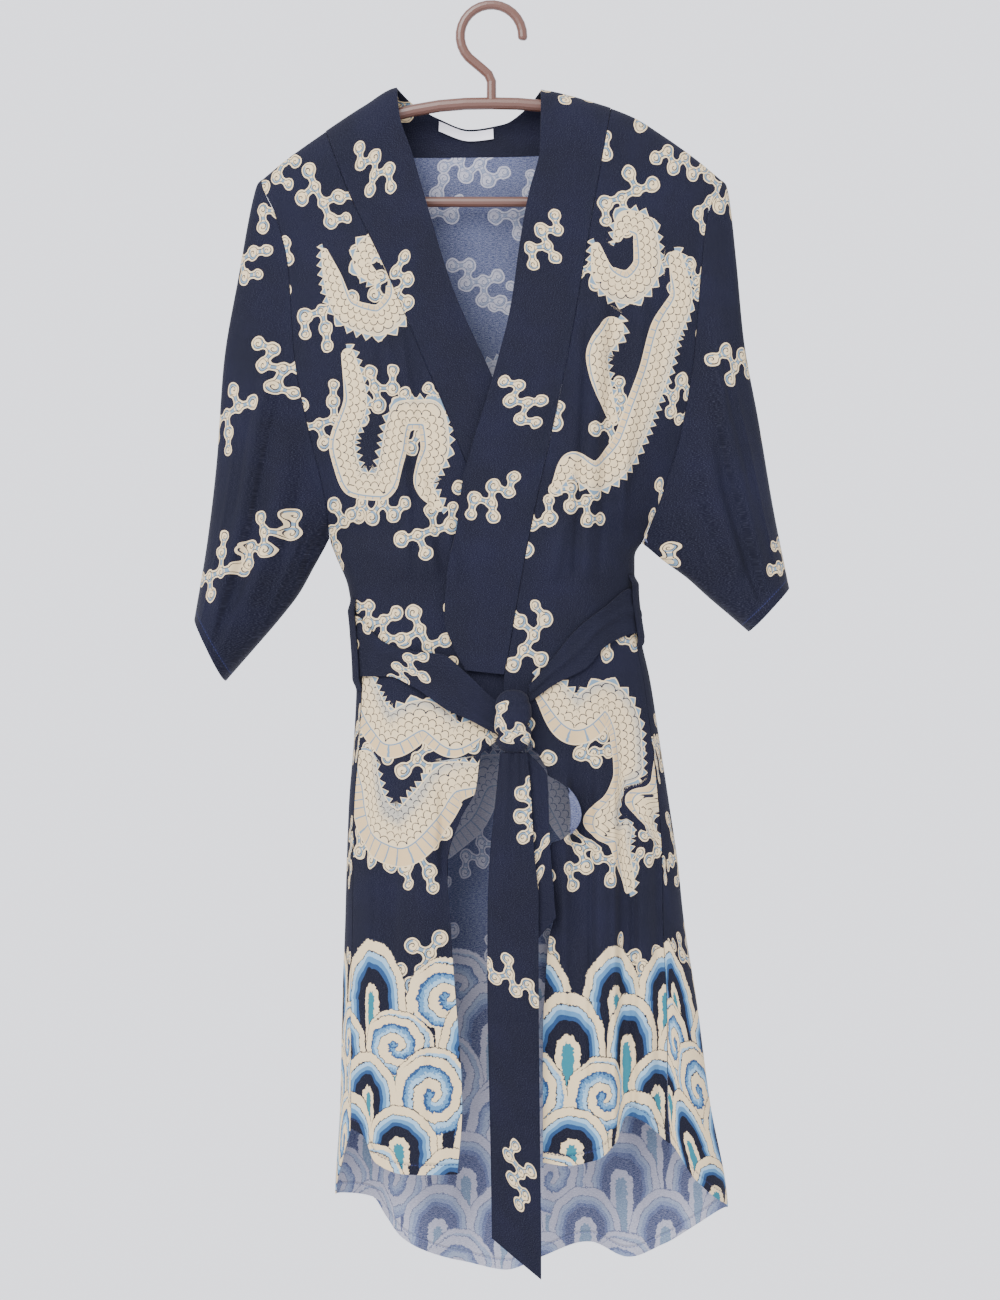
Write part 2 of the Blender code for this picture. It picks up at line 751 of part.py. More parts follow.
def grid_points(surface, across, down, closed):
    u = np.linspace(0.0, 1.0, across + 1)
    u = u[:-1] if closed else u
    v = np.linspace(0.0, 1.0, down + 1)
    return np.meshgrid(u, v, indexing="ij")


def face_out(surface, u, v, closed, outward):
    # the surface's normals, from its own small steps
    step = 0.001
    if closed:
        along = surface((u + step) % 1.0, v) - surface((u - step) % 1.0, v)
    else:
        along = surface(np.minimum(u + step, 1.0), v) - surface(np.maximum(u - step, 0.0), v)
    down = surface(u, np.minimum(v + step, 1.0)) - surface(u, np.maximum(v - step, 0.0))
    normals = np.cross(along, down) * outward
    return normals / np.maximum(np.linalg.norm(normals, axis=-1, keepdims=True), 1e-12)


def cloth_wall(name, surface, across, down, outward, thick=CLOTH, raised=0.0, closed=False, colour="navy"):
    # a closed wall: the outer face is the surface moved out, the inner face lies
    # a thickness further in
    u, v = grid_points(surface, across, down, closed)
    normals = face_out(surface, u, v, closed, outward)
    lift = raised(u, v)[..., None] if callable(raised) else raised
    outer = surface(u, v) + normals * lift
    inner = outer - normals * thick
    shape = bmesh.new()
    faces = [[[shape.verts.new(p) for p in column] for column in side] for side in (outer, inner)]
    columns = len(faces[0])
    spans = range(columns) if closed else range(columns - 1)
    for side in faces:
        for i in spans:
            for j in range(down):
                right = (i + 1) % columns
                shape.faces.new((side[i][j], side[right][j], side[right][j + 1], side[i][j + 1]))
    for i in spans:
        right = (i + 1) % columns
        for j in (0, down):
            shape.faces.new((faces[0][i][j], faces[0][right][j], faces[1][right][j], faces[1][i][j]))
    if not closed:
        for i in (0, columns - 1):
            for j in range(down):
                shape.faces.new(
                    (faces[0][i][j], faces[0][i][j + 1], faces[1][i][j + 1], faces[1][i][j])
                )
    return add_object(name, shape, colour)


def tube(path, radii, sides, ring_closed):
    # round bar along a path in the XZ plane
    shape = bmesh.new()
    path = np.array(path)
    count = len(path)
    rings = []
    for i in range(count):
        if ring_closed:
            ahead = path[(i + 1) % count] - path[i - 1]
        else:
            ahead = path[min(i + 1, count - 1)] - path[max(i - 1, 0)]
        ahead = ahead / np.linalg.norm(ahead)
        ring = []
        for k in range(sides):
            turn = 2.0 * math.pi * k / sides
            out = radii[i] * math.cos(turn)
            x = path[i][0] - ahead[1] * out
            z = path[i][1] + ahead[0] * out
            ring.append(shape.verts.new((x, radii[i] * math.sin(turn), z)))
        rings.append(ring)
    for i in range(count if ring_closed else count - 1):
        here, there = rings[i], rings[(i + 1) % count]
        for k in range(sides):
            nxt = (k + 1) % sides
            shape.faces.new((here[k], here[nxt], there[nxt], there[k]))
    if not ring_closed:
        shape.faces.new(rings[0])
        shape.faces.new(list(reversed(rings[-1])))
    return shape


def arc(centre_x, centre_z, radius, start, end, count):
    turns = np.radians(np.linspace(start, end, count))
    return [(centre_x + radius * math.cos(t), centre_z + radius * math.sin(t)) for t in turns]


def hanger():
    # the arms, their round ends and the bar are one closed tube
    centre_z = -(HOOK_RADIUS - HOOK_TUBE)
    right_arm = [
        (0.0250, -0.0904),
        (0.0500, -0.0925),
        (0.0750, -0.0968),
        (0.1000, -0.1028),
        (0.1250, -0.1110),
        (0.1500, -0.1236),
        (0.1750, -0.1397),
        (0.1950, -0.1548),
    ]
    right_end = arc(0.1985, -0.1735, 0.0112, 50.0, -90.0, 6)
    right_side = right_arm + right_end + [(x, BAR_HEIGHT) for x in (0.150, 0.090, 0.040)]
    left_side = [(-x, z) for x, z in reversed(right_side)]
    loop = [(0.0, -0.0900)] + right_side + [(0.0, BAR_HEIGHT)] + left_side
    radii = [mix(BAR_TUBE, ARM_TUBE, float(ease((z - BAR_HEIGHT) / 0.02))) for x, z in loop]
    frame = add_object("hanger", tube(loop, radii, HANGER_SIDES, True), "brown")

    turned = arc(0.0, centre_z, HOOK_RADIUS, -2.0, 236.0, 20)
    neck = [(-0.0090, -0.0568), (-0.0030, -0.0622), (0.0, -0.0690), (0.0, -0.0780), (0.0, -0.0895)]
    path = turned + neck
    radii = [HOOK_TUBE] * len(path)
    tip = [(HOOK_RADIUS - 0.0001, centre_z - 0.0040), (HOOK_RADIUS, centre_z - 0.0030)]
    path = tip + path
    radii = [HOOK_TUBE * 0.55, HOOK_TUBE * 0.86] + radii
    hook = add_object("hook_cutter", tube(path, radii, HANGER_SIDES, False), "brown")
    hook.hide_render = True
    hook.display_type = "WIRE"
    join = frame.modifiers.new("hook", "BOOLEAN")
    join.operation = "UNION"
    join.object = hook


def knot():
    # the belt's knot: a rounded, slightly pinched lump
    shape = bmesh.new()
    around_count, levels = 18, 10
    middle_z = (KNOT_TOP + KNOT_BOTTOM) / 2.0
    half_height = (KNOT_TOP - KNOT_BOTTOM) / 2.0
    rings = []
    for level in range(1, levels):
        rise = -math.cos(math.pi * level / levels)
        height = math.copysign(abs(rise) ** 0.75, rise)
        swell = (1.0 - abs(rise) ** 3.2) ** 0.45
        swell *= 1.0 - KNOT_WAIST * math.exp(-((height / 0.22) ** 2))
        ring = []
        for k in range(around_count):
            turn = 2.0 * math.pi * k / around_count
            c, s = math.cos(turn), math.sin(turn)
            x = KNOT_HALF_WIDTH * swell * math.copysign(abs(c) ** 0.75, c)
            y = KNOT_HALF_DEPTH * swell * math.copysign(abs(s) ** 0.75, s)
            z = middle_z + half_height * height
            ring.append(shape.verts.new((KNOT_CENTRE[0] + x, KNOT_CENTRE[1] + y, z)))
        rings.append(ring)
    for low, high in zip(rings, rings[1:]):
        for k in range(around_count):
            nxt = (k + 1) % around_count
            shape.faces.new((low[k], low[nxt], high[nxt], high[k]))
    shape.faces.new(rings[0])
    shape.faces.new(list(reversed(rings[-1])))
    add_object("belt_knot", shape, "navy")


def robe():
    cloth_wall("back", back_panel, 36, ROWS, 1.0)
    cloth_wall("front_right", under_front, 13, ROWS, -1.0)
    cloth_wall("front_left", over_front, 16, ROWS, -1.0)
    cloth_wall("sleeve_right", sleeve(LEFT_SLEEVE, -1.0), 2 * ARM_ROW, 10, -1.0, closed=True)
    cloth_wall("sleeve_left", sleeve(RIGHT_SLEEVE, 1.0), 2 * ARM_ROW, 10, 1.0, closed=True)
    cloth_wall("band_right", under_band, 3, BAND_ROWS, -1.0, thick=DOUBLED, raised=BAND_PROUD)
    cloth_wall("band_left", over_band, 3, BAND_ROWS, 1.0, thick=DOUBLED, raised=BAND_PROUD)
    cloth_wall("neck_label", label_surface, 6, 2, 1.0, thick=LABEL_THICK,
               raised=BAND_PROUD - DOUBLED - SEAM_GAP, colour="white")


def belt():
    raised = LYING_GAP + DOUBLED
    cloth_wall("belt", belt_surface, 64, 3, 1.0, thick=DOUBLED, raised=raised)
    knot()
    long_tail = tail_surface(LONG_TAIL, LONG_TAIL_TIP)
    short_tail = tail_surface(SHORT_TAIL, SHORT_TAIL_TIP)
    cloth_wall("belt_tail_long", long_tail, 4, 14, -1.0, thick=DOUBLED)
    cloth_wall("belt_tail_short", short_tail, 4, 6, -1.0, thick=DOUBLED)
    right_loop = loop_surface(-LOOP_ANGLE, -0.5660, -0.6540)
    left_loop = loop_surface(math.pi + LOOP_ANGLE, -0.5430, -0.6120)
    cloth_wall("belt_loop_right", right_loop, 2, 12, 1.0, thick=LOOP_THICK, raised=loop_raise)
    cloth_wall("belt_loop_left", left_loop, 2, 12, 1.0, thick=LOOP_THICK, raised=loop_raise)


for old in list(bpy.data.objects):
    bpy.data.objects.remove(old, do_unlink=True)
hanger()
robe()
belt()
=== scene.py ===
# Looks of a printed cotton wrap robe that hangs on a moulded hanger.
# Metres, +Z up, the front towards -Y, the origin at the seat of the hanger's hook.

import math

import bpy
import numpy as np
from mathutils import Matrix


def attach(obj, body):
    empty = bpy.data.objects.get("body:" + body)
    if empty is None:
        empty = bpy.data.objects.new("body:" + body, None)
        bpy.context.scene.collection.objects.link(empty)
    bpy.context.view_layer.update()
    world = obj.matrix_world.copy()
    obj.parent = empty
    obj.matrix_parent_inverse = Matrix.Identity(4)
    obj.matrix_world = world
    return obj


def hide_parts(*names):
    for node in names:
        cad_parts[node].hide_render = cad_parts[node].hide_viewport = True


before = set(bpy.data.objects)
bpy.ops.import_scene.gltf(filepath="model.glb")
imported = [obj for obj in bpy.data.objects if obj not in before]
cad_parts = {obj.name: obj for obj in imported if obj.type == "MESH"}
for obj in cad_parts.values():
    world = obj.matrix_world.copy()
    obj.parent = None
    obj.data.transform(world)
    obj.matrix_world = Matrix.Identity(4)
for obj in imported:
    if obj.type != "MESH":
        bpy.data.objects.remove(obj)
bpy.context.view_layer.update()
bpy.ops.object.select_all(action="DESELECT")
print("frame loaded")


# Curves through short tables

def table(columns, *rows):
    ordered = np.array(sorted(rows), dtype=float)
    return {name: ordered[:, i] for i, name in enumerate(columns.split())}


def curve(rows, column, at):
    # smooth through the rows, with no overshoot, level past its ends
    knots, values = rows[next(iter(rows))], rows[column]
    steps = np.diff(knots)
    secants = np.diff(values) / steps
    slopes = np.empty_like(values)
    slopes[0], slopes[-1] = secants[0], secants[-1]
    before, after = secants[:-1], secants[1:]
    rising = before * after > 0
    total = np.where(rising, before + after, 1.0)
    slopes[1:-1] = np.where(rising, 2.0 * before * after / total, 0.0)
    at = np.asarray(at, dtype=float)
    i = np.clip(np.searchsorted(knots, at) - 1, 0, len(knots) - 2)
    t = np.clip((at - knots[i]) / steps[i], 0.0, 1.0)
    low, high = values[i], values[i + 1]
    bendLow, bendHigh = slopes[i] * steps[i], slopes[i + 1] * steps[i]
    square = 3.0 * (high - low) - 2.0 * bendLow - bendHigh
    cube = 2.0 * (low - high) + bendLow + bendHigh
    return low + t * bendLow + t * t * square + t * t * t * cube


def ease(t):
    t = np.clip(t, 0.0, 1.0)
    return t * t * (3.0 - 2.0 * t)


def mix(a, b, t):
    return a + (b - a) * t


# The hung body: its sections, edges and folds

body = {
    "roll": 0.045,
    "widthPower": 0.85,
    "depthPower": 2.6,
    "sidePower": 2.2,
    "underarm": -0.510,
    "wrapLift": 0.0060,
    "seamGap": 0.0005,
    "angleGap": 0.0045,
    "sections": table(
        "z left right front back arm",
        (-0.0600, -0.2203, 0.2213, 0.021, 0.019, 0.015),
        (-0.1636, -0.2203, 0.2213, 0.025, 0.022, 0.016),
        (-0.2000, -0.2060, 0.2060, 0.030, 0.025, 0.017),
        (-0.2467, -0.1942, 0.2005, 0.035, 0.028, 0.019),
        (-0.3345, -0.1877, 0.1929, 0.040, 0.031, 0.022),
        (-0.4100, -0.1730, 0.1800, 0.042, 0.032, 0.020),
        (-0.4500, -0.1632, 0.1685, 0.042, 0.032, 0.017),
        (-0.4800, -0.1575, 0.1580, 0.042, 0.032, 0.012),
        (-0.5100, -0.1546, 0.1455, 0.042, 0.032, 0.000),
        (-0.5236, -0.1497, 0.1375, 0.042, 0.032, 0.000),
        (-0.5553, -0.1374, 0.1375, 0.040, 0.030, 0.000),
        (-0.5982, -0.1320, 0.1425, 0.037, 0.028, 0.000),
        (-0.6445, -0.1297, 0.1525, 0.036, 0.028, 0.000),
        (-0.7000, -0.1320, 0.1611, 0.040, 0.033, 0.000),
        (-0.7607, -0.1368, 0.1704, 0.044, 0.038, 0.000),
        (-0.8190, -0.1390, 0.1789, 0.047, 0.042, 0.000),
        (-0.8759, -0.1405, 0.1850, 0.049, 0.045, 0.000),
        (-0.9480, -0.1430, 0.1965, 0.051, 0.048, 0.000),
        (-1.0468, -0.1451, 0.2095, 0.054, 0.052, 0.000),
        (-1.1466, -0.1502, 0.2270, 0.056, 0.056, 0.000),
        (-1.2300, -0.1502, 0.2300, 0.057, 0.058, 0.000),
    ),
    "seamWrap": table(
        "z left right",
        (-0.530, 0.000, 0.000),
        (-0.610, 0.006, 0.006),
        (-0.700, 0.006, 0.008),
        (-0.760, 0.006, 0.011),
        (-0.820, 0.007, 0.016),
        (-0.880, 0.008, 0.022),
        (-0.950, 0.009, 0.030),
        (-1.080, 0.012, 0.046),
    ),
    "shoulder": table(
        "x z",
        (-0.2203, -0.1636),
        (-0.2080, -0.1533),
        (-0.1950, -0.1428),
        (-0.1650, -0.1214),
        (-0.1214, -0.0925),
        (-0.0907, -0.0753),
        (-0.0216, -0.0700),
        (0.0475, -0.0772),
        (0.1042, -0.0916),
        (0.1350, -0.1030),
        (0.1650, -0.1214),
        (0.1950, -0.1428),
        (0.2080, -0.1533),
        (0.2213, -0.1645),
    ),
    "underEdge": table(
        "z x",
        (-0.1175, -0.1590),
        (-0.1750, -0.1375),
        (-0.2500, -0.1020),
        (-0.3129, -0.0749),
        (-0.4200, -0.0308),
        (-0.5200, 0.0040),
        (-0.6000, 0.0180),
        (-0.6500, 0.0200),
        (-0.6960, 0.0082),
        (-0.7156, -0.0101),
        (-0.7482, -0.0149),
        (-0.7741, -0.0283),
        (-0.8183, -0.0418),
        (-0.8625, -0.0389),
        (-0.9124, -0.0360),
        (-1.0468, -0.0274),
        (-1.1101, -0.0318),
    ),
    "overEdge": table(
        "z x",
        (-0.0956, 0.1145),
        (-0.1847, 0.0985),
        (-0.3129, 0.0765),
        (-0.3877, 0.0617),
        (-0.4477, 0.0483),
        (-0.5311, 0.0312),
        (-0.6167, 0.0165),
        (-0.6462, 0.0116),
        (-0.6750, 0.0180),
        (-0.7041, 0.0379),
        (-0.7319, 0.0528),
        (-0.7953, 0.0552),
        (-0.8625, 0.0595),
        (-0.8893, 0.0542),
        (-0.9892, 0.0485),
        (-1.0986, 0.0485),
    ),
    "neckSeam": table(
        "x z",
        (-0.1590, -0.1175),
        (-0.1480, -0.1270),
        (-0.1200, -0.1360),
        (-0.0780, -0.1400),
        (-0.0216, -0.1400),
        (0.0450, -0.1380),
        (0.0850, -0.1260),
        (0.1050, -0.1080),
        (0.1145, -0.0956),
    ),
    "underHem": table(
        "x z",
        (-0.1320, -1.0710),
        (-0.1214, -1.0765),
        (-0.1120, -1.0985),
        (-0.1051, -1.1049),
        (-0.0843, -1.1108),
        (-0.0318, -1.1101),
    ),
    "overHem": table(
        "x z",
        (0.0485, -1.0986),
        (0.0696, -1.1015),
        (0.0974, -1.0962),
        (0.1180, -1.0800),
        (0.1280, -1.0560),
        (0.1416, -1.0593),
        (0.1685, -1.0823),
    ),
    "backHem": table(
        "x z",
        (-0.1502, -1.1370),
        (-0.1157, -1.1461),
        (-0.1022, -1.1668),
        (-0.0881, -1.1860),
        (-0.0629, -1.2004),
        (-0.0318, -1.2116),
        (0.0130, -1.2201),
        (0.0470, -1.2071),
        (0.0974, -1.1934),
        (0.1320, -1.2052),
        (0.1700, -1.1927),
        (0.1915, -1.1781),
        (0.2290, -1.1485),
    ),
    "leftWrapHem": table("share z", (0.0, -1.1370), (0.6, -1.1080), (1.0, -1.0710)),
    "rightWrapHem": table(
        "share z", (0.0, -1.1485), (0.45, -1.1390), (0.8, -1.1180), (1.0, -1.0823)
    ),
}

# top x, top z, low x, low z, half width, how far it stands out
frontFolds = [
    (-0.132, -0.190, -0.060, -0.575, 0.014, 0.0060),
    (-0.100, -0.300, -0.084, -0.575, 0.012, 0.0035),
    (0.104, -0.230, 0.090, -0.575, 0.012, 0.0060),
    (0.138, -0.330, 0.112, -0.570, 0.012, 0.0045),
    (-0.118, -0.690, -0.122, -1.140, 0.013, 0.0045),
    (-0.096, -0.700, -0.099, -1.140, 0.012, -0.0050),
    (-0.070, -0.690, -0.066, -1.140, 0.018, 0.0050),
    (0.084, -0.650, 0.085, -0.900, 0.011, -0.0055),
    (0.106, -0.650, 0.104, -1.140, 0.014, 0.0070),
    (0.125, -0.640, 0.126, -1.140, 0.011, -0.0090),
    (0.146, -0.660, 0.147, -1.140, 0.012, 0.0060),
    (0.160, -0.760, 0.172, -1.140, 0.011, -0.0050),
]
frontCreases = [
    (-0.146, -0.200, -0.104, -0.420, 0.0060, 0.0044),
    (-0.118, -0.230, -0.082, -0.520, 0.0050, -0.0051),
    (-0.094, -0.260, -0.050, -0.560, 0.0045, 0.0037),
    (-0.076, -0.380, -0.071, -0.600, 0.0050, -0.0041),
    (-0.158, -0.320, -0.120, -0.560, 0.0070, -0.0037),
    (-0.052, -0.450, -0.020, -0.610, 0.0060, 0.0031),
    (0.094, -0.269, 0.078, -0.582, 0.0046, -0.0058),
    (0.118, -0.250, 0.101, -0.560, 0.0050, -0.0044),
    (0.150, -0.250, 0.126, -0.470, 0.0060, 0.0041),
    (0.169, -0.250, 0.160, -0.400, 0.0055, -0.0041),
    (0.129, -0.389, 0.125, -0.520, 0.0042, 0.0044),
    (0.072, -0.480, 0.050, -0.600, 0.0060, 0.0034),
    (-0.047, -0.735, -0.046, -0.835, 0.0040, -0.0051),
    (-0.084, -0.700, -0.086, -0.960, 0.0045, 0.0027),
    (-0.110, -0.700, -0.112, -1.000, 0.0040, -0.0027),
    (-0.056, -0.860, -0.058, -1.130, 0.0060, -0.0031),
    (0.070, -0.700, 0.068, -0.980, 0.0050, 0.0037),
    (0.095, -0.690, 0.094, -1.060, 0.0036, -0.0041),
    (0.117, -0.650, 0.117, -1.090, 0.0034, 0.0051),
    (0.135, -0.680, 0.135, -1.090, 0.0036, -0.0058),
    (0.156, -0.700, 0.159, -1.060, 0.0036, -0.0051),
    (0.169, -0.820, 0.176, -1.080, 0.0040, 0.0034),
]
backFolds = [
    (-0.104, -0.280, -0.066, -0.575, 0.018, 0.0055),
    (-0.020, -0.340, -0.016, -0.575, 0.020, 0.0060),
    (0.062, -0.300, 0.050, -0.575, 0.018, 0.0050),
    (0.118, -0.360, 0.096, -0.575, 0.017, 0.0050),
    (-0.104, -0.660, -0.116, -1.260, 0.020, 0.0080),
    (-0.064, -0.680, -0.068, -1.260, 0.018, -0.0070),
    (-0.018, -0.660, -0.016, -1.260, 0.022, 0.0075),
    (0.034, -0.670, 0.036, -1.260, 0.019, -0.0070),
    (0.078, -0.660, 0.086, -1.260, 0.020, 0.0080),
    (0.104, -0.760, 0.140, -1.260, 0.017, -0.0110),
    (0.132, -0.700, 0.182, -1.260, 0.018, 0.0070),
]
backCreases = [
    (-0.130, -0.230, -0.090, -0.540, 0.0070, -0.0044),
    (-0.060, -0.240, -0.050, -0.560, 0.0080, 0.0037),
    (0.020, -0.280, 0.018, -0.580, 0.0070, -0.0041),
    (0.092, -0.260, 0.074, -0.560, 0.0060, 0.0041),
    (0.142, -0.300, 0.118, -0.520, 0.0070, -0.0037),
    (-0.126, -0.690, -0.132, -1.120, 0.0070, -0.0051),
    (-0.082, -0.700, -0.088, -1.100, 0.0060, 0.0044),
    (-0.042, -0.680, -0.040, -1.190, 0.0060, -0.0041),
    (0.006, -0.690, 0.010, -1.120, 0.0070, 0.0041),
    (0.056, -0.700, 0.062, -1.180, 0.0060, 0.0037),
    (0.094, -0.720, 0.112, -1.130, 0.0050, -0.0048),
    (0.150, -0.800, 0.206, -1.160, 0.0070, -0.0051),
]


def shoulderZ(x):
    return curve(body["shoulder"], "z", x)


def foldDepth(folds, x, z):
    depth = np.zeros(np.broadcast(x, z).shape)
    for topX, topZ, lowX, lowZ, halfWidth, out in folds:
        run = (topZ - z) / (topZ - lowZ)
        path = mix(topX, lowX, run)
        fade = ease(run / 0.25) * (1.0 - ease((run - 0.9) / 0.1))
        depth = depth + out * fade * np.exp(-(((x - path) / halfWidth) ** 2))
    pressed = ease((z + 0.700) / 0.03) * ease((-0.535 - z) / 0.02)
    return depth * (1.0 - pressed)


def slack(x, z):
    # the slight unevenness of worn cotton, pressed out under the belt
    wave = 0.0007 * np.sin(x * 61.0 + 2.1 * np.sin(z * 13.0)) * np.sin(z * 27.0 + x * 9.0)
    wave = wave + 0.0004 * np.sin(x * 143.0 + z * 71.0) * np.sin(z * 97.0 - x * 52.0)
    pressed = ease((z + 0.705) / 0.02) * ease((-0.560 - z) / 0.02)
    return wave * (1.0 - pressed)


def middleAndHalf(z):
    left, right = curve(body["sections"], "left", z), curve(body["sections"], "right", z)
    return (left + right) / 2.0, (right - left) / 2.0


def angleAt(x, z):
    middle, half = middleAndHalf(z)
    share = np.clip((x - middle) / half, -1.0, 1.0)
    return np.arccos(-np.sign(share) * np.abs(share) ** (1.0 / body["widthPower"]))


def bodyDepth(x, z, share, onBack):
    sections = body["sections"]
    full = np.where(onBack, curve(sections, "back", z), curve(sections, "front", z))
    arm = curve(sections, "arm", z)
    bulge = np.clip(1.0 - share ** body["depthPower"], 0.0, 1.0)
    closed = full * bulge ** (1.0 / body["sidePower"])
    toSleeve = arm + (full - arm) * bulge
    side = mix(closed, toSleeve, ease((z - body["underarm"] + 0.015) / 0.030))
    inFront = foldDepth(frontFolds, x, z) + foldDepth(frontCreases, x, z)
    behind = foldDepth(backFolds, x, z) + foldDepth(backCreases, x, z)
    folds = np.where(onBack, behind, inFront) + slack(x, z)
    drop = np.clip(shoulderZ(x) - z, 0.0, body["roll"])
    roll = np.sqrt(np.clip(1.0 - (1.0 - drop / body["roll"]) ** 2, 0.0, 1.0))
    return (side + folds * bulge) * roll


def wrapLift(x, z):
    belowNeck = ease((-0.25 - z) / 0.09)
    aboveSkirt = 1.0 - ease((-0.70 - z) / 0.08)
    inside = 1.0 - ease((x - 0.085) / 0.04)
    return body["wrapLift"] * belowNeck * aboveSkirt * inside


def around(angle, z):
    # from the left side, round the back for positive angles, round the front for others
    middle, half = middleAndHalf(z)
    turn = np.cos(angle)
    share = np.abs(turn) ** body["widthPower"]
    x = middle - half * np.sign(turn) * share
    onBack = np.sin(angle) > 0
    side = np.where(onBack, 1.0, -1.0)
    parted = mix(np.clip(np.abs(np.sin(angle)) / 0.05, 0, 1), 1.0, ease((z + 0.52) / 0.02))
    y = side * (bodyDepth(x, z, share, onBack) + parted * body["seamGap"] / 2.0)
    return np.stack([x, y, z * np.ones_like(x)], axis=-1)


def onBody(x, z, onBack):
    middle, half = middleAndHalf(z)
    share = np.clip(np.abs(x - middle) / half, 0.0, 1.0)
    side = np.where(onBack, 1.0, -1.0)
    y = side * (bodyDepth(x, z, share, onBack) + body["seamGap"] / 2.0)
    return np.stack([x, y, z * np.ones_like(x)], axis=-1)


def aroundX(angle, z):
    middle, half = middleAndHalf(z)
    turn = np.cos(angle)
    return middle - half * np.sign(turn) * np.abs(turn) ** body["widthPower"]


def columnEnd(angleFor, line, first, u):
    z = np.full(np.shape(u), first)
    for _ in range(40):
        z = mix(z, line(aroundX(angleFor(u, z), z), u), 0.5)
    return z


def panelRows(v):
    # rows lie closer over the hanger
    return mix(v, v * v, 0.55 * (1.0 - ease(v / 0.25)))


def panel(angleFor, topLine, bottomLine):
    def surface(u, v):
        top = columnEnd(angleFor, topLine, -0.13, u[:, :1])
        bottom = columnEnd(angleFor, bottomLine, -1.12, u[:, :1])
        z = mix(top, bottom, panelRows(v))
        return around(angleFor(u, z), z)

    return surface


def leftSeamAngle(z):
    sections, wrap = body["sections"], body["seamWrap"]
    return angleAt(curve(sections, "left", z) + curve(wrap, "left", z), z)


def rightSeamAngle(z):
    sections, wrap = body["sections"], body["seamWrap"]
    return angleAt(curve(sections, "right", z) - curve(wrap, "right", z), z)


def underAngle(u, z):
    inner = angleAt(curve(body["underEdge"], "x", z) - body["seamGap"] / 2.0, z)
    return -mix(leftSeamAngle(z) + body["angleGap"], inner, u)


def overAngle(u, z):
    inner = angleAt(curve(body["overEdge"], "x", z) + body["seamGap"] / 2.0, z)
    return -mix(inner, rightSeamAngle(z) - body["angleGap"], u)


def backAngle(u, z):
    start = -leftSeamAngle(z) + body["angleGap"]
    end = 2.0 * math.pi - rightSeamAngle(z) - body["angleGap"]
    return mix(start, end, u)


def shoulderLine(x, u):
    return shoulderZ(x)


def neckSeamZ(x, side):
    run = 0.001
    neck = body["neckSeam"]
    slope = (curve(neck, "z", x + run) - curve(neck, "z", x - run)) / (2.0 * run)
    return curve(neck, "z", x) + side * 0.0004 * np.sqrt(1.0 + slope**2)


def backTopLine(x, u):
    ends = body["neckSeam"]["x"]
    inNeck = (x > ends[0]) & (x < ends[-1])
    return np.where(inNeck, np.minimum(neckSeamZ(x, 2.5), shoulderZ(x)), shoulderZ(x))


def backHemLine(x, u):
    low = np.full(np.shape(u), -1.08)
    angle, start, end = backAngle(u, low), backAngle(0.0, low), backAngle(1.0, low)
    hem = curve(body["backHem"], "z", x)
    hem = np.where(angle < 0.0, curve(body["leftWrapHem"], "z", angle / start), hem)
    wrapped = (angle - math.pi) / (end - math.pi)
    return np.where(wrapped > 0.0, curve(body["rightWrapHem"], "z", wrapped), hem)


def underHemLine(x, u):
    return curve(body["underHem"], "z", x)


def overHemLine(x, u):
    return curve(body["overHem"], "z", x)


def underFront(u, v):
    points = panel(underAngle, shoulderLine, underHemLine)(u, v)
    # the skirt's free edge turns in a little
    edge = ease((u - 0.86) / 0.14) * ease((-0.72 - points[..., 2]) / 0.08)
    points[..., 1] += 0.0040 * edge * (0.6 + 0.4 * np.sin(points[..., 2] * 31.0))
    return points


def overFront(u, v):
    points = panel(overAngle, shoulderLine, overHemLine)(u, v)
    points[..., 1] -= wrapLift(points[..., 0], points[..., 2])
    edge = ease((0.14 - u) / 0.14) * ease((-0.80 - points[..., 2]) / 0.08)
    points[..., 1] += 0.0040 * edge * (0.6 + 0.4 * np.sin(points[..., 2] * 27.0 + 1.0))
    # below the knot the free edge curls outward and shows the wrong side
    reach = np.clip((0.16 - u) / 0.16, 0.0, 1.0)
    height = (points[..., 2] + 0.7700) / np.where(points[..., 2] > -0.7700, 0.036, 0.028)
    curl = np.clip(1.0 - height**2, 0.0, 1.0) ** 0.8
    points[..., 0] += 0.030 * reach**1.6 * curl
    points[..., 1] -= 0.009 * np.sin(np.minimum(reach, 1.0) * 2.2) * curl
    return points


def backPanel(u, v):
    return panel(backAngle, backTopLine, backHemLine)(u, v)


print("body surfaces ready")


# Cloth sheets

cloth = {"thick": 0.0011, "doubled": 0.0024}


def outwards(surface, u, v, closed, sign):
    step = 0.001
    if closed:
        along = surface((u + step) % 1.0, v) - surface((u - step) % 1.0, v)
    else:
        along = surface(np.minimum(u + step, 1.0), v) - surface(np.maximum(u - step, 0.0), v)
    down = surface(u, np.minimum(v + step, 1.0)) - surface(u, np.maximum(v - step, 0.0))
    normals = np.cross(along, down) * sign
    return normals / np.maximum(np.linalg.norm(normals, axis=-1, keepdims=True), 1e-12)


def rowLengths(points):
    # how far each point lies along its row, measured on the cloth
    steps = np.linalg.norm(np.diff(points, axis=0), axis=-1)
    return np.concatenate([np.zeros((1, points.shape[1])), np.cumsum(steps, axis=0)])


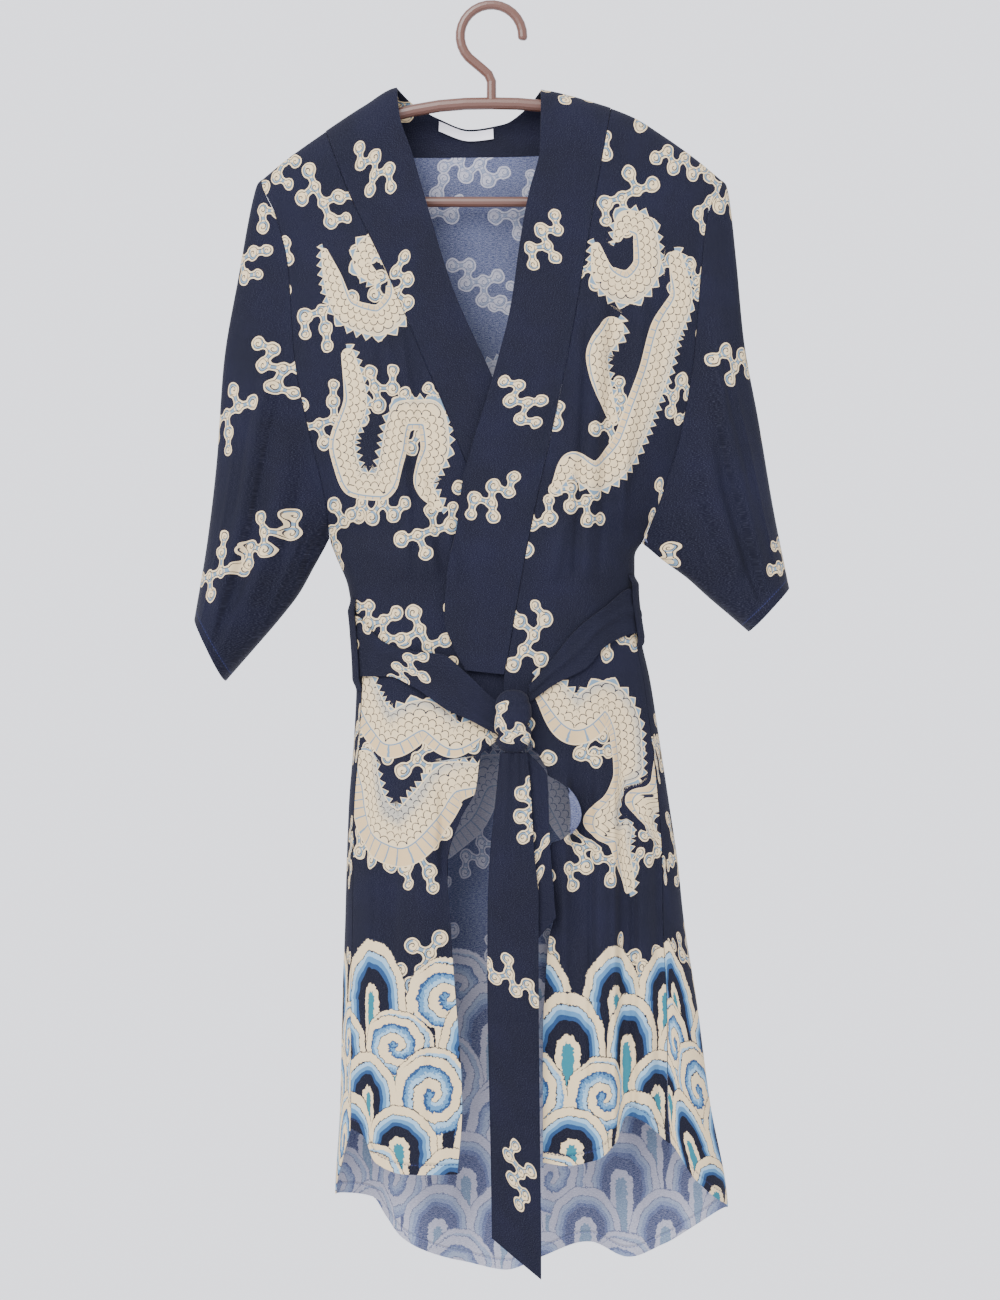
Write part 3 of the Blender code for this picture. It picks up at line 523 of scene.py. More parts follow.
def clothSheet(
    name, surface, across, down, sign, thick, skins, flatten, raised=0.0, closed=False, marks=None
):
    # a grid laid on the surface, with its flat places and marks, and then its thickness
    bpy.ops.object.select_all(action="DESELECT")
    bpy.ops.mesh.primitive_grid_add(x_subdivisions=across, y_subdivisions=down, size=1.0)
    piece = bpy.context.active_object
    piece.name = name
    mesh = piece.data
    count = len(mesh.vertices)
    place = np.empty(count * 3)
    mesh.vertices.foreach_get("co", place)
    place = place.reshape(-1, 3)
    column = np.rint((place[:, 0] + 0.5) * across).astype(int)
    row = np.rint((0.5 - place[:, 1]) * down).astype(int)
    u, v = np.meshgrid(np.linspace(0, 1, across + 1), np.linspace(0, 1, down + 1), indexing="ij")
    points = surface(u, v)
    lift = raised(u, v)[..., None] if callable(raised) else raised
    points = points + outwards(surface, u, v, closed, sign) * lift
    mesh.vertices.foreach_set("co", points[column, row].astype(np.float32).ravel())
    flat = flatten(u, v, points)
    corners = np.empty(len(mesh.loops), dtype=np.int32)
    mesh.loops.foreach_get("vertex_index", corners)
    layer = mesh.uv_layers.active
    layer.name = "cloth"
    layer.data.foreach_set("uv", flat[column, row][corners].astype(np.float32).ravel())
    for label, values in (marks(u, v, points, flat) if marks else {}).items():
        kept = mesh.attributes.new(label, "FLOAT_VECTOR", "POINT")
        kept.data.foreach_set("vector", values[column, row].astype(np.float32).ravel())
    if sign > 0:
        mesh.flip_normals()
    if closed:
        bpy.ops.object.mode_set(mode="EDIT")
        bpy.ops.mesh.select_all(action="SELECT")
        bpy.ops.mesh.remove_doubles(threshold=0.00002)
        bpy.ops.object.mode_set(mode="OBJECT")
    for skin in skins:
        mesh.materials.append(skin)
    wall = piece.modifiers.new("wall", "SOLIDIFY")
    wall.thickness = thick
    wall.offset = -1.0
    wall.use_even_offset = True
    wall.material_offset = len(skins) - 1
    bpy.ops.object.modifier_apply(modifier=wall.name)
    bpy.ops.object.shade_smooth_by_angle(angle=math.radians(50))
    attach(piece, "root")
    return piece


# Shader sums

class Part:
    # a socket that takes part in sums

    def __init__(self, shade, socket):
        self.shade, self.socket = shade, socket

    def maths(self, operation, *others, clamp=False):
        settings = {"operation": operation, "use_clamp": clamp}
        return self.shade.node("ShaderNodeMath", settings, dict(enumerate((self, *others))))

    def vector(self, operation, *others, scale=None):
        inputs = dict(enumerate((self, *others)))
        if scale is not None:
            inputs["Scale"] = scale
        out = "Value" if operation in ("LENGTH", "DOT_PRODUCT", "DISTANCE") else "Vector"
        return self.shade.node("ShaderNodeVectorMath", {"operation": operation}, inputs, out)

    def __add__(self, other):
        return self.maths("ADD", other)

    def __radd__(self, other):
        return self.maths("ADD", other)

    def __sub__(self, other):
        return self.maths("SUBTRACT", other)

    def __rsub__(self, other):
        return self.shade.value(other, self, "SUBTRACT")

    def __mul__(self, other):
        return self.maths("MULTIPLY", other)

    def __rmul__(self, other):
        return self.maths("MULTIPLY", other)

    def __truediv__(self, other):
        return self.maths("DIVIDE", other)

    def __lt__(self, other):
        return self.maths("LESS_THAN", other)

    def __gt__(self, other):
        return self.maths("GREATER_THAN", other)

    def __abs__(self):
        return self.maths("ABSOLUTE")

    def least(self, other):
        return self.maths("MINIMUM", other)

    def most(self, other):
        return self.maths("MAXIMUM", other)

    def softLeast(self, other, width):
        return self.maths("SMOOTH_MIN", other, width)

    def floor(self):
        return self.maths("FLOOR")

    def rest(self):
        return self.maths("FRACT")

    def sine(self):
        return self.maths("SINE")

    def between(self, low, high):
        # 1 inside the two values, 0 outside
        return (self > low) * (self < high)

    def ramp(self, low, high):
        # smooth from 0 at low to 1 at high
        settings = {"interpolation_type": "SMOOTHSTEP"}
        inputs = {"Value": self, "From Min": low, "From Max": high, "To Min": 0.0, "To Max": 1.0}
        return self.shade.node("ShaderNodeMapRange", settings, inputs)

    def parts(self):
        split = self.shade.node("ShaderNodeSeparateXYZ", {}, {0: self})
        outs = split.socket.node.outputs
        return [Part(self.shade, outs[i]) for i in range(3)]


class Shade:
    # the nodes of one material

    def __init__(self, name, roughness, sheen=0.0):
        self.material = bpy.data.materials.new(name)
        self.material.use_nodes = True
        self.tree = self.material.node_tree
        self.face = self.tree.nodes["Principled BSDF"]
        self.face.inputs["Roughness"].default_value = roughness
        self.face.inputs["Sheen Weight"].default_value = sheen
        self.face.inputs["Sheen Roughness"].default_value = 0.5
        self.face.inputs["Specular IOR Level"].default_value = 0.14

    def node(self, kind, settings, inputs, out=0):
        made = self.tree.nodes.new(kind)
        for key, value in settings.items():
            setattr(made, key, value)
        for key, value in inputs.items():
            if isinstance(value, Part):
                self.tree.links.new(value.socket, made.inputs[key])
            else:
                made.inputs[key].default_value = value
        return Part(self, made.outputs[out])

    def value(self, number, part, operation):
        return self.node("ShaderNodeMath", {"operation": operation}, {0: number, 1: part})

    def join(self, x, y, z=0.0):
        return self.node("ShaderNodeCombineXYZ", {}, {0: x, 1: y, 2: z})

    def choose(self, factor, a, b):
        # a vector, a where factor is 0 and b where it is 1
        return self.node("ShaderNodeMix", {"data_type": "VECTOR"}, {0: factor, 4: a, 5: b}, 1)

    def paint(self, factor, a, b):
        # a colour, a where factor is 0 and b where it is 1
        return self.node("ShaderNodeMix", {"data_type": "RGBA"}, {0: factor, 6: a, 7: b}, 2)

    def noise(self, place, scale, detail=2.0, out=0):
        settings = {"noise_dimensions": "3D"}
        inputs = {"Vector": place, "Scale": scale, "Detail": detail, "Roughness": 0.55}
        return self.node("ShaderNodeTexNoise", settings, inputs, out)

    def chance(self, place, out=0):
        return self.node("ShaderNodeTexWhiteNoise", {"noise_dimensions": "3D"}, {"Vector": place}, out)

    def flat(self):
        return self.node("ShaderNodeUVMap", {"uv_map": "cloth"}, {})

    def mark(self, name):
        return self.node("ShaderNodeAttribute", {"attribute_name": name}, {}, 1)

    def bump(self, height, strength, distance):
        inputs = {"Height": height, "Strength": strength, "Distance": distance}
        bumped = self.node("ShaderNodeBump", {}, inputs)
        self.tree.links.new(bumped.socket, self.face.inputs["Normal"])

    def colour(self, part):
        self.tree.links.new(part.socket, self.face.inputs["Base Color"])


def ink(red, green, blue):
    # a screen colour, 0 to 255, as a shader colour
    def linear(c):
        c = c / 255.0
        return c / 12.92 if c <= 0.04045 else ((c + 0.055) / 1.055) ** 2.4

    return (linear(red), linear(green), linear(blue), 1.0)


inks = {
    "navy": ink(6, 7, 22),
    "dusk": ink(10, 11, 30),
    "line": ink(22, 24, 38),
    "cream": ink(196, 176, 138),
    "warm": ink(186, 160, 118),
    "mist": ink(98, 120, 136),
    "pale": ink(126, 156, 176),
    "sky": ink(72, 112, 144),
    "deep": ink(30, 58, 94),
    "teal": ink(34, 100, 112),
}
fadedInks = {
    "navy": ink(40, 48, 80),
    "dusk": ink(54, 62, 94),
    "line": ink(80, 86, 110),
    "cream": ink(158, 157, 166),
    "warm": ink(154, 152, 160),
    "mist": ink(108, 118, 138),
    "pale": ink(126, 138, 156),
    "sky": ink(102, 116, 142),
    "deep": ink(64, 76, 110),
    "teal": ink(92, 114, 132),
}

# Cloud sprigs, in centimetres about their middle: lobes are x, y, radius
sprigs = {
    "branching": {
        "lobes": [
            (-3.1, 1.7, 0.74),
            (-1.5, 0.5, 0.60),
            (-2.4, -1.4, 0.70),
            (0.2, -0.5, 0.58),
            (1.5, 1.1, 0.70),
            (2.9, 2.3, 0.56),
            (1.9, -1.7, 0.76),
            (3.4, -0.5, 0.52),
        ],
        "stems": [(0, 1), (1, 2), (1, 3), (3, 4), (4, 5), (3, 6), (6, 7)],
    },
    "climbing": {
        "lobes": [
            (-0.8, 3.3, 0.64),
            (0.5, 2.0, 0.62),
            (-1.1, 0.8, 0.74),
            (0.5, -0.4, 0.60),
            (2.0, -1.0, 0.66),
            (-1.0, -1.8, 0.70),
            (0.3, -3.2, 0.60),
        ],
        "stems": [(0, 1), (1, 2), (2, 3), (3, 4), (3, 5), (5, 6)],
    },
}


def cloudForm(shade, point, sprig):
    # distance from the sprig's outline, inside it below 0, and the nearest lobe's own place
    shape = local = nearest = None
    for x, y, radius in sprig["lobes"]:
        offset = point.vector("SUBTRACT", (x, y, 0.0))
        gap = offset.vector("LENGTH") - radius * 1.22
        scaled = offset.vector("SCALE", scale=0.82 / radius)
        if shape is None:
            shape, local, nearest = gap, scaled, gap
            continue
        local = shade.choose(gap < nearest, local, scaled)
        nearest = nearest.least(gap)
        shape = shape.softLeast(gap, 0.40)
    for start, end in sprig["stems"]:
        ax, ay, _ = sprig["lobes"][start]
        bx, by, _ = sprig["lobes"][end]
        run = (bx - ax, by - ay, 0.0)
        offset = point.vector("SUBTRACT", (ax, ay, 0.0))
        share = offset.vector("DOT_PRODUCT", run).maths(
            "DIVIDE", run[0] ** 2 + run[1] ** 2, clamp=True
        )
        foot = shade.join(share * run[0], share * run[1])
        gap = offset.vector("SUBTRACT", foot).vector("LENGTH") - 0.40
        shape = shape.softLeast(gap, 0.30)
    return shape, local


def scatter(shade, flat, sprig, cell, shift, amount):
    # a sprig in each cell of a lattice, shifted and turned by chance, some left out
    grid = flat.vector("DIVIDE", (cell[0], cell[1], 1.0)).vector("ADD", (shift[0], shift[1], 0.0))
    corner = grid.vector("FLOOR")
    luck = shade.chance(corner, 1)
    lucky, skip, slip = luck.parts()
    local = grid.vector("SUBTRACT", corner).vector("SUBTRACT", (0.5, 0.5, 0.0))
    spread = 114.0
    local = local.vector("MULTIPLY", (cell[0] * spread, cell[1] * spread, 0.0))
    nudge = shade.join((skip - 0.5) * 0.9, (slip - 0.5) * 0.9)
    local = local.vector("SUBTRACT", nudge)
    turned = shade.node(
        "ShaderNodeVectorRotate",
        {"rotation_type": "Z_AXIS"},
        {"Vector": local, "Angle": (lucky - 0.5) * 5.4},
    )
    shape, lobe = cloudForm(shade, turned, sprig)
    missing = shade.chance(corner.vector("ADD", (7.3, 3.1, 1.7))) > amount
    return shape + missing * 9.0, lobe


def placed(shade, flat, sprig, spots):
    # sprigs at named spots, each turned by its own angle; the nearest one is drawn
    local = nearest = None
    for x, y, turn in spots:
        offset = flat.vector("SUBTRACT", (x, y, 0.0))
        gap = offset.vector("LENGTH")
        turned = shade.node(
            "ShaderNodeVectorRotate",
            {"rotation_type": "Z_AXIS"},
            {"Vector": offset.vector("SCALE", scale=125.0), "Angle": turn},
        )
        if local is None:
            local, nearest = turned, gap
            continue
        local = shade.choose(gap < nearest, local, turned)
        nearest = nearest.least(gap)
    return cloudForm(shade, local, sprig)


def cloudColour(shade, ground, shape, lobe, colours):
    # cream rim, thin line, and a curl or a blue-grey core
    x, y, _ = lobe.parts()
    reach = lobe.vector("LENGTH")
    turn = y.maths("ARCTAN2", x) / (2.0 * math.pi)
    spiral = (reach * 1.9 - turn).rest()
    curl = (spiral < 0.24) * (reach < 0.66)
    inLobe = reach < 0.95
    core = shade.paint(inLobe, colours["mist"], colours["cream"])
    core = shade.paint(curl * inLobe, core, colours["line"])
    core = shade.paint((reach.between(0.50, 0.74)) * (y < 0.1) * inLobe, core, colours["mist"])
    filled = shade.paint(shape > -0.24, core, colours["line"])
    filled = shade.paint(shape > -0.17, filled, colours["cream"])
    return shade.paint(shape < 0.0, ground, filled)


ribbonPrint = {
    "scaleHigh": 0.0068,
    "scaleWide": 0.0080,
    "belly": -0.0085,
    "bellyLine": -0.0098,
    "bar": 0.0070,
    "rim": 0.0012,
    "tooth": 0.0085,
    "toothHigh": 0.0060,
    "toothRim": 0.0014,
}


def coilColour(shade, ground, coil, colours, grain):
    # a broad sweeping ribbon with scales; coil holds nearness, across and along
    size = ribbonPrint
    near, across, along = coil.parts()
    row = (across / size["scaleHigh"]).floor()
    s = (along / size["scaleWide"] + (row * 0.5)).rest() - 0.5
    t = (across / size["scaleHigh"]).rest()
    scale = shade.join(s, t * 0.72).vector("LENGTH")
    broken = grain > 0.38
    scaleLine = scale.between(0.44, 0.53) * broken
    belly = across < size["belly"]
    bars = (along / size["bar"]).rest() < 0.13
    seam = across.between(size["bellyLine"], size["belly"])
    shadeBlue = (across + (grain - 0.5) * 0.012).ramp(0.006, 0.020)
    skin = shade.paint(shadeBlue * 0.55, colours["cream"], colours["mist"])
    skin = shade.paint(scaleLine * (across > size["belly"]), skin, colours["line"])
    skin = shade.paint(belly, skin, colours["warm"])
    skin = shade.paint((bars * belly).most(seam), skin, colours["mist"])
    skin = shade.paint(near > -size["rim"], skin, colours["cream"])
    teeth = abs((along / size["tooth"]).rest() - 0.5) * 2.0
    fringe = near < (teeth * size["toothHigh"])
    edge = shade.paint(near > (teeth * size["toothHigh"] - size["toothRim"]), colours["mist"], colours["cream"])
    edge = shade.paint(across < 0.0, edge, ground)
    done = shade.paint(fringe, ground, edge)
    return shade.paint(near < 0.0, done, skin)


wavePrint = {
    "pitch": 0.047,
    "width": 0.083,
    "rise": 0.050,
    "turned": 0.60,
    "rings": [
        # how deep each colour starts, whether its edge is uneven, and the colour
        (0.0095, False, "pale"),
        (0.0135, True, "sky"),
        (0.0175, True, "deep"),
        (0.0215, True, "navy"),
        (0.0330, False, "cream"),
        (0.0400, False, "teal"),
    ],
}


def waveColour(shade, ground, flat, colours, grain, top):
    # rows of arched waves with bands of colour; each row stands before the one above it
    x, z, _ = flat.parts()
    pitch, width, rise = wavePrint["pitch"], wavePrint["width"], wavePrint["rise"]
    level = ((top - z) / pitch).floor()
    done = ground
    for ahead in (0, 1, 2):
        rank = level + (ahead - 1.0)
        centreZ = top - rank * pitch - pitch * 0.9
        stagger = (rank * 0.5).rest() * width + rank.sine() * 0.012
        column = ((x + stagger) / width).floor()
        luck = shade.chance(shade.join(column, rank, 4.7), 1)
        tall, lean, kind = luck.parts()
        localX = (x + stagger) - (column + 0.5) * width + (lean - 0.5) * 0.012
        localZ = (z - centreZ) / (0.80 + tall * 0.45)
        swirl = kind > wavePrint["turned"]
        up = localZ.most(0.0)
        radius = shade.join(localX / 0.86, up).vector("LENGTH")
        turn = localZ.maths("ARCTAN2", localX) / (2.0 * math.pi)
        wobble = (turn * 60.0).sine() * 0.0006 + (grain - 0.5) * 0.005
        radius = radius + wobble
        centred = shade.join(localX, localZ - 0.006).vector("LENGTH") + wobble
        rolled = ((centred / 0.0200 - turn).rest()) * 0.0200
        band = (rise - 0.0035) - radius
        winding = swirl * (centred < 0.036)
        depth = band * (1.0 - winding) + rolled * winding
        fill = shade.paint(depth > 0.0085, colours["cream"], colours["line"])
        uneven = depth + (grain - 0.5) * 0.006
        for start, rough, colour in wavePrint["rings"]:
            fill = shade.paint((uneven if rough else depth) > start, fill, colours[colour])
        fill = shade.paint(band < 0.0, fill, colours["line"])
        shown = (radius < rise - 0.0026) * (rank > -0.5)
        done = shade.paint(shown, done, fill)
    return done


def weave(shade, flat, strength):
    # threads of a plain weave, and its slubs
    x, y, _ = flat.parts()
    warp = (x * (2.0 * math.pi / 0.00062)).sine()
    weft = (y * (2.0 * math.pi / 0.00066)).sine()
    slubs = shade.noise(flat.vector("MULTIPLY", (900.0, 2600.0, 1.0)), 1.0, 1.0)
    shade.bump(warp * weft + slubs * 1.5, strength, 0.00012)
    return slubs


def printedCloth(
    name, colours, clouds, coils=False, waves=None, pale=False, stitchesAndHemShade=True, spots=()
):
    shade = Shade(name, 0.86, 0.02)
    flat = shade.flat()
    grain = shade.noise(flat, 420.0, 2.0)
    drift = shade.noise(flat, 70.0, 1.0, 1).vector("SUBTRACT", (0.5, 0.5, 0.5))
    drawn = flat.vector("ADD", drift.vector("MULTIPLY", (0.0040, 0.0040, 0.0)))
    mottle = shade.noise(flat, 14.0, 3.0)
    slubs = weave(shade, flat, 0.5 if pale else 0.3)
    done = shade.paint(mottle.ramp(0.35, 0.75), colours["navy"], colours["dusk"])
    for sprig, cell, shift, amount in clouds:
        shape, lobe = scatter(shade, drawn, sprigs[sprig], cell, shift, amount)
        done = cloudColour(shade, done, shape, lobe, colours)
    for sprig, places in spots:
        shape, lobe = placed(shade, drawn, sprigs[sprig], places)
        done = cloudColour(shade, done, shape, lobe, colours)
    if coils:
        done = coilColour(shade, done, shade.mark("coil"), colours, grain)
    if waves is not None:
        done = waveColour(shade, done, drawn, colours, grain, waves)
    if pale:
        threads = shade.noise(flat, 1500.0, 1.0)
        cross = shade.noise(flat.vector("MULTIPLY", (300.0, 1500.0, 1.0)), 1.0, 1.0)
        speck = (threads * 0.6 + cross * 0.4).ramp(0.36, 0.66)
        done = shade.paint(speck * 0.26, done, ink(196, 198, 212))
        done = shade.paint((1.0 - speck) * 0.30, done, ink(40, 46, 84))
    else:
        done = shade.paint(slubs.ramp(0.45, 0.85) * 0.10, done, ink(150, 154, 178))
    # hem stitches, and painted shade in the hem's crease just above them
    if stitchesAndHemShade:
        hem, run, _ = shade.mark("edges").parts()
        thread = hem.between(0.0088, 0.0096) * ((run / 0.0036).rest() < 0.64)
        # painted shade: a darker band along the turned hem's crease
        paintedHemShade = hem.ramp(0.0092, 0.0104) * (1.0 - hem.ramp(0.0104, 0.0125))
        done = shade.paint(paintedHemShade * 0.35, done, ink(20, 22, 44))
        done = shade.paint(thread, done, ink(34, 38, 72) if not pale else ink(90, 96, 130))
    shade.colour(done)
    return shade.material


print("shader tools ready")


# Band, sleeves, belt and label: the same forms as the solids

trim = {
    "endUnder": -0.630,
    "endOver": -0.634,
    "meet": 0.0,
    "proud": 0.0005,
    "neckGap": 0.0010,
    "neckCentre": -0.0216,
    "neckLean": 0.012,
    "lying": 0.0009,
    "loopSpread": 0.16,
    "loopThick": 0.0010,
    "loopGap": 0.0008,
    "rows": 28,
    "shoulderRow": 20,
    "armRow": 13,
    "bandSpacing": table(
        "row share", (0, 0.0), (6, 0.220), (13, 0.780), (16, 0.935), (18, 0.985), (20, 1.0)
    ),
    "neckSpacing": table(
        "row share", (20, 0.0), (21, 0.025), (22, 0.090), (23, 0.200), (28, 1.0)
    ),
    "armSpacing": table(
        "row share",
        (0, 0.000),
        (2, 0.006),
        (4, 0.026),
        (6, 0.060),
        (10, 0.270),
        (13, 0.379),
        (22, 0.555),
        (29, 1.000),
    ),
    "underBandEdge": table(
        "z x",
        (-0.0753, -0.0907),
        (-0.1031, -0.0878),
        (-0.1431, -0.0749),
        (-0.1847, -0.0629),
        (-0.2688, -0.0374),
        (-0.3565, 0.0012),
        (-0.4000, 0.0180),
        (-0.4450, 0.0340),
        (-0.5450, 0.0580),
        (-0.6300, 0.0600),
    ),
    "overBandEdge": table(
        "z x",
        (-0.0772, 0.0475),
        (-0.1343, 0.0464),
        (-0.1806, 0.0353),
        (-0.2247, 0.0274),
        (-0.2908, 0.0178),
        (-0.3565, 0.0012),
        (-0.3863, -0.0076),
        (-0.4257, -0.0197),
        (-0.4554, -0.0274),
        (-0.4996, -0.0331),
        (-0.5428, -0.0418),
        (-0.5850, -0.0446),
        (-0.6119, -0.0360),
        (-0.6480, -0.0160),
    ),
    "neckTop": table(
        "x z",
        (-0.0907, -0.0753),
        (-0.0760, -0.0880),
        (-0.0507, -0.1010),
        (-0.0216, -0.1110),
        (0.0120, -0.1060),
        (0.0330, -0.0930),
        (0.0475, -0.0772),
    ),
    "label": {"left": -0.0517, "right": 0.0022, "inset": 0.0030, "height": 0.0100},
}
sleeveRows = {
    "right": table(
        "along outerX outerZ underX underZ depth",
        (0.00, -0.2203, -0.1636, -0.1546, -0.5075, 0.024),
        (0.02, -0.2238, -0.1669, -0.1560, -0.5100, 0.024),
        (0.06, -0.2280, -0.1800, -0.1590, -0.5160, 0.025),
        (0.20, -0.2415, -0.2520, -0.1690, -0.5340, 0.027),
        (0.40, -0.2565, -0.3400, -0.1838, -0.5603, 0.031),
        (0.60, -0.2630, -0.4300, -0.2030, -0.5850, 0.034),
        (0.80, -0.2720, -0.5080, -0.2290, -0.6150, 0.037),
        (1.00, -0.2846, -0.5850, -0.2549, -0.6445, 0.040),
    ),
    "left": table(
        "along outerX outerZ underX underZ depth",
        (0.00, 0.2213, -0.1645, 0.1446, -0.5123, 0.024),
        (0.02, 0.2246, -0.1676, 0.1462, -0.5136, 0.024),
        (0.06, 0.2275, -0.1790, 0.1500, -0.5165, 0.025),
        (0.20, 0.2345, -0.2400, 0.1650, -0.5290, 0.027),
        (0.40, 0.2420, -0.3180, 0.1877, -0.5457, 0.031),
        (0.60, 0.2560, -0.3950, 0.2080, -0.5640, 0.034),
        (0.80, 0.2700, -0.4780, 0.2280, -0.5810, 0.036),
        (1.00, 0.2854, -0.5553, 0.2467, -0.5971, 0.038),
    ),
}
# share across from the outer edge, start and end along, half width, depth
sleeveFolds = [
    (0.34, 0.10, 0.95, 0.10, 0.0045),
    (0.66, 0.04, 0.80, 0.09, 0.0050),
    (0.50, 0.20, 1.00, 0.07, -0.0040),
]
sleeveCreases = [
    (0.24, 0.15, 0.70, 0.030, -0.0016),
    (0.43, 0.05, 0.62, 0.026, 0.0016),
    (0.58, 0.34, 0.98, 0.028, -0.0018),
    (0.76, 0.02, 0.50, 0.030, -0.0022),
    (0.84, 0.10, 0.66, 0.024, 0.0018),
    (0.93, 0.02, 0.40, 0.020, -0.0022),
    (0.15, 0.40, 1.00, 0.024, 0.0012),
]
beltRows = [
    # x, side, right of the middle, top, bottom
    (0.0060, -1, 0, -0.6637, -0.6954),
    (-0.0221, -1, 0, -0.6369, -0.6810),
    (-0.0442, -1, 0, -0.6190, -0.6710),
    (-0.0720, -1, 0, -0.6160, -0.6509),
    (-0.0989, -1, 0, -0.6080, -0.6397),
    (-0.1240, -1, 0, -0.5830, -0.6400),
    (-0.1300, 1, 0, -0.5790, -0.6370),
    (-0.0900, 1, 0, -0.5760, -0.6340),
    (0.0100, 1, 0, -0.5750, -0.6330),
    (0.1000, 1, 1, -0.5720, -0.6280),
    (0.1380, 1, 1, -0.5620, -0.6120),
    (0.1330, -1, 1, -0.5562, -0.5990),
    (0.1080, -1, 1, -0.5750, -0.6090),
    (0.0840, -1, 1, -0.5950, -0.6330),
    (0.0600, -1, 1, -0.6230, -0.6465),
    (0.0360, -1, 1, -0.6480, -0.6640),
]
tails = {
    "long": {
        "rows": table(
            "z left right y",
            (-0.7113, 0.0082, 0.0341, -0.0600),
            (-0.7415, 0.0053, 0.0366, -0.0605),
            (-0.8087, -0.0014, 0.0408, -0.0615),
            (-0.8490, -0.0034, 0.0446, -0.0620),
            (-0.9124, -0.0038, 0.0446, -0.0630),
            (-1.1000, -0.0005, 0.0462, -0.0655),
            (-1.1670, 0.0005, 0.0470, -0.0665),
        ),
        "tip": (-1.1677, -1.2071),
        "pleats": [(0.30, 0.10, 0.0022), (0.62, 0.08, 0.0026), (0.84, 0.07, 0.0016)],
        "dents": [(-0.891, 0.004, 0.0008), (-0.969, 0.005, 0.0010), (-1.064, 0.006, 0.0005)],
    },
    "short": {
        "rows": table(
            "z left right y",
            (-0.7113, 0.0120, 0.0350, -0.0548),
            (-0.7338, 0.0140, 0.0528, -0.0550),
            (-0.7953, 0.0160, 0.0552, -0.0558),
            (-0.8400, 0.0165, 0.0585, -0.0564),
            (-0.8670, 0.0165, 0.0610, -0.0568),
        ),
        "tip": (-0.9200, -0.8670),
        "pleats": [(0.75, 0.10, 0.0010)],
        "dents": [(-0.800, 0.006, 0.0004)],
    },
}
knotForm = {
    "top": -0.6520,
    "bottom": -0.7120,
    "x": 0.0205,
    "y": -0.0596,
    "halfWidth": 0.0175,
    "halfDepth": 0.0130,
}


def bandHalf(seam, freeEdge, end, neckFrom, sideways, lifted, u, v):
    # up the front, over the shoulder, to the centre back
    row = v * (1.0 - trim["meet"]) * trim["rows"]
    behind = row > trim["shoulderRow"]
    roundNeck = curve(trim["neckSpacing"], "share", row)
    climb = 1.0 - curve(trim["bandSpacing"], "share", row)
    freeTop, seamTop = neckFrom
    freeZ = mix(shoulderZ(freeTop), end, climb)
    seamZ = mix(shoulderZ(seamTop), end - 0.004, climb)
    freeX = np.where(behind, mix(freeTop, trim["neckCentre"], roundNeck), curve(freeEdge, "x", freeZ))
    seamX = np.where(behind, mix(seamTop, trim["neckCentre"], roundNeck), curve(seam, "x", seamZ))
    parted = np.where(behind, trim["neckGap"] * (1.0 - roundNeck), body["seamGap"] / 2.0)
    seamX = seamX - sideways * parted
    freeZ = np.where(behind, curve(trim["neckTop"], "z", freeX), freeZ)
    seamZ = np.where(behind, np.minimum(neckSeamZ(seamX, 1.0), shoulderZ(seamX)), seamZ)
    freeDrop = shoulderZ(freeX) - freeZ
    seamDrop = shoulderZ(seamX) - seamZ
    x = mix(freeX, seamX, u)
    drop = np.maximum(mix(freeDrop, seamDrop, u), 0.0)
    straight = mix(freeZ, seamZ, u)
    z = mix(shoulderZ(x) - drop, straight, ease((drop - 0.02) / 0.10))
    points = onBody(x, z, behind)
    points[..., 1] += np.where(behind, 1.0, 0.0) * trim["neckLean"] * (1.0 - u) * ease(roundNeck)
    if lifted:
        points[..., 1] -= np.where(behind, 0.0, 1.0) * wrapLift(x, z)
    return points


def underBand(u, v):
    edges = (body["underEdge"], trim["underBandEdge"])
    return bandHalf(*edges, trim["endUnder"], (-0.0907, -0.1590), -1.0, False, u, v)


def overBand(u, v):
    edges = (body["overEdge"], trim["overBandEdge"])
    return bandHalf(*edges, trim["endOver"], (0.0475, 0.1145), 1.0, True, u, v)


def sleeve(which, side):
    rows = sleeveRows[which]
    edge = "left" if side < 0 else "right"
    tipZ, underZ = rows["outerZ"][0], rows["underZ"][0]
    seamEnd = body["underHem"]["z"][0] if side < 0 else body["overHem"]["z"][-1]

    def surface(u, v):
        front = np.where(u < 0.5, -1.0, 1.0)
        row = trim["armRow"] * (1.0 - np.abs(1.0 - 2.0 * u))
        holeZ = mix(tipZ, seamEnd, curve(trim["armSpacing"], "share", row))
        across = np.clip((holeZ - tipZ) / (underZ - tipZ), 0.0, 1.0)
        roundness = 2.0 * np.sqrt(across * (1.0 - across))
        holeX = curve(body["sections"], edge, holeZ) + side * body["seamGap"] * 0.75
        drop = np.clip(shoulderZ(holeX) - holeZ, 0.0, body["roll"])
        roll = np.sqrt(np.clip(1.0 - (1.0 - drop / body["roll"]) ** 2, 0.0, 1.0))
        holeDepth = curve(body["sections"], "arm", holeZ) * roll
        startX = mix(rows["outerX"][0], rows["underX"][0], across)
        lineX = mix(curve(rows, "outerX", v), curve(rows, "underX", v), across)
        lineZ = mix(curve(rows, "outerZ", v), curve(rows, "underZ", v), across)
        bow = (holeX - startX) * (1.0 - ease(v))
        depth = curve(rows, "depth", v) * roundness**0.8
        for share, start, end, halfWidth, out in sleeveFolds + sleeveCreases:
            fade = ease((v - start) / 0.15) * (1.0 - ease((v - end + 0.1) / 0.1))
            slant = share + 0.10 * (v - start)
            depth = depth + out * fade * np.exp(-(((across - slant) / halfWidth) ** 2))
        depth = mix(holeDepth, depth, ease(v / 0.35))
        parted = body["seamGap"] / 2.0 * np.clip(roundness / 0.1, 0, 1)
        return np.stack([lineX + bow, front * (depth + parted), lineZ], axis=-1)

    return surface


